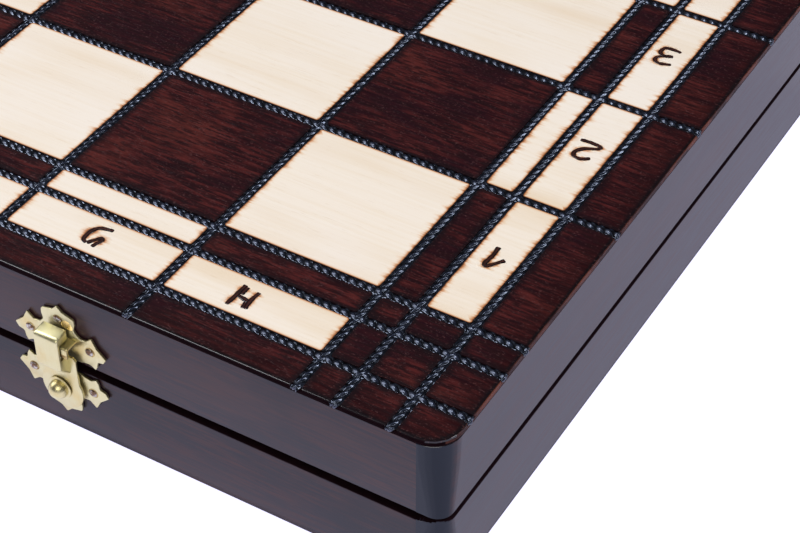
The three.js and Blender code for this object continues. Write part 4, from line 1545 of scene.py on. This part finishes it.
def tray_levels(half, xs, ys):
    """Level of the flock in mm at each grid point, hollowed to the men's undersides."""
    grid_x, grid_y = np.meshgrid(xs, ys, indexing="ij")
    level = np.full(grid_x.shape, TRAY_TOP)
    for kind, _, x, y, towards in layout(half):
        _, foot_level, slope = lying_place(kind, half, x, y, towards)
        heights, radii = envelope(kind)
        along = (grid_y - y) * towards / math.cos(slope)
        radius = np.interp(along, heights, radii, left=0, right=0) + CLEARANCE
        across = np.abs(grid_x - x)
        inside = (across < radius) & (along > -1) & (along < heights[-1])
        under = foot_level - along * math.sin(slope) - np.sqrt(np.maximum(radius ** 2 - across ** 2, 0))
        level = np.where(inside, np.minimum(level, np.maximum(under, TRAY_FLOOR + 1.0)), level)
    return level


def add_tray(half):
    """The flocked lining of a tray."""
    reach_x, reach_y = (INNER_X - FIT) / MM, (INNER_Y - FIT) / MM
    xs = np.linspace(-reach_x, reach_x, round(2 * reach_x / TRAY_STEP) + 1)
    ys = np.linspace(-reach_y, reach_y, round(2 * reach_y / TRAY_STEP) + 1)
    level = tray_levels(half, xs, ys)
    padded = np.pad(level, 1, constant_values=TRAY_FLOOR)
    padded_x, padded_y = np.pad(xs, 1, mode="edge"), np.pad(ys, 1, mode="edge")
    grid_x, grid_y = np.meshgrid(padded_x, padded_y, indexing="ij")
    z = half.board - half.sign * padded * MM
    points = np.stack([grid_x * MM, grid_y * MM, z], axis=-1).reshape(-1, 3)
    mesh = quad_mesh(f"{half.name}_flock", points, grid_quads(*padded.shape, 0, half.sign > 0))
    piece(f"{half.name}_flock", mesh, [FLOCK], half.body, "tray_flock", [f"{half.name}_tray"],
          sharp_angle=60)


for half, side in ((LOWER, "dark"), (UPPER, "light")):
    add_tray(half)
    add_men(half, side)


# ---- studio ----

FLOOR_REACH = 6.0
FLOOR_LEVEL = -0.6 * MM


def add_floor():
    """A wide floor a little below the underside, on which the signs stand proud."""
    corners = rectangle(-FLOOR_REACH, FLOOR_REACH, -FLOOR_REACH, FLOOR_REACH)
    mesh = bpy.data.meshes.new("floor")
    mesh.from_pydata([(x, y, FLOOR_LEVEL) for x, y in corners], [], [(0, 1, 2, 3)])
    mesh.materials.append(studio_white())
    floor = linked("floor", mesh)
    floor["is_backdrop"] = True


# Name, place, size, power in watts and colour
SOFTBOXES = (
    ("front_softbox", (0.9, -1.5, 1.5), (1.6, 1.2), 21, (1, 0.985, 0.95)),
    ("left_softbox", (-1.85, -0.45, 1.2), (1.15, 1.2), 19, (0.9, 0.91, 1.0)),
    ("top_softbox", (-1.0, 0.1, 1.9), (0.7, 0.7), 20, (0.93, 0.95, 1.0)),
    ("right_softbox", (1.2, 0.45, 1.5), (0.5, 0.5), 10, (0.93, 0.95, 1.0)),
)


def add_softbox(name, location, size, power, colour):
    """A rectangular light, turned to the middle of the set's underside."""
    light = bpy.data.lights.new(name, "AREA")
    light.shape = "RECTANGLE"
    light.size, light.size_y = size
    light.energy = power
    light.color = colour
    thing = linked(name, light)
    thing.location = location
    thing.rotation_euler = (-Vector(location)).to_track_quat("-Z", "Y").to_euler()


def add_world():
    """Faint light from everywhere."""
    world = bpy.data.worlds.new("studio")
    world.use_nodes = True
    background = world.node_tree.nodes["Background"]
    background.inputs["Color"].default_value = (0.9, 0.88, 1.0, 1)
    background.inputs["Strength"].default_value = 0.065
    bpy.context.scene.world = world


# Camera: where it stands, which way it looks in degrees, and its lens in mm
CAMERA_PLACE = (0.4064, -0.4152, 0.4064)
CAMERA_AZIMUTH = 30.95
CAMERA_ELEVATION = 41.45
CAMERA_ROLL = -0.2
LENS = 95.2


def add_camera():
    """The camera, from the angles and the lens above."""
    azimuth, elevation = math.radians(CAMERA_AZIMUTH), math.radians(CAMERA_ELEVATION)
    forward = Vector((-math.sin(azimuth) * math.cos(elevation), math.cos(azimuth) * math.cos(elevation),
                      -math.sin(elevation)))
    data = bpy.data.cameras.new("camera")
    data.lens = LENS
    data.sensor_width = 36
    data.clip_start = 0.01
    camera = linked("camera", data)
    aim = forward.to_track_quat("-Z", "Y").to_matrix().to_4x4()
    roll = Matrix.Rotation(math.radians(CAMERA_ROLL), 4, "Z")
    camera.matrix_world = Matrix.Translation(CAMERA_PLACE) @ aim @ roll
    bpy.context.scene.camera = camera


add_floor()
add_world()
for light in SOFTBOXES:
    add_softbox(*light)
add_camera()
bpy.context.scene.view_settings.view_transform = "Standard"

low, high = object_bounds()
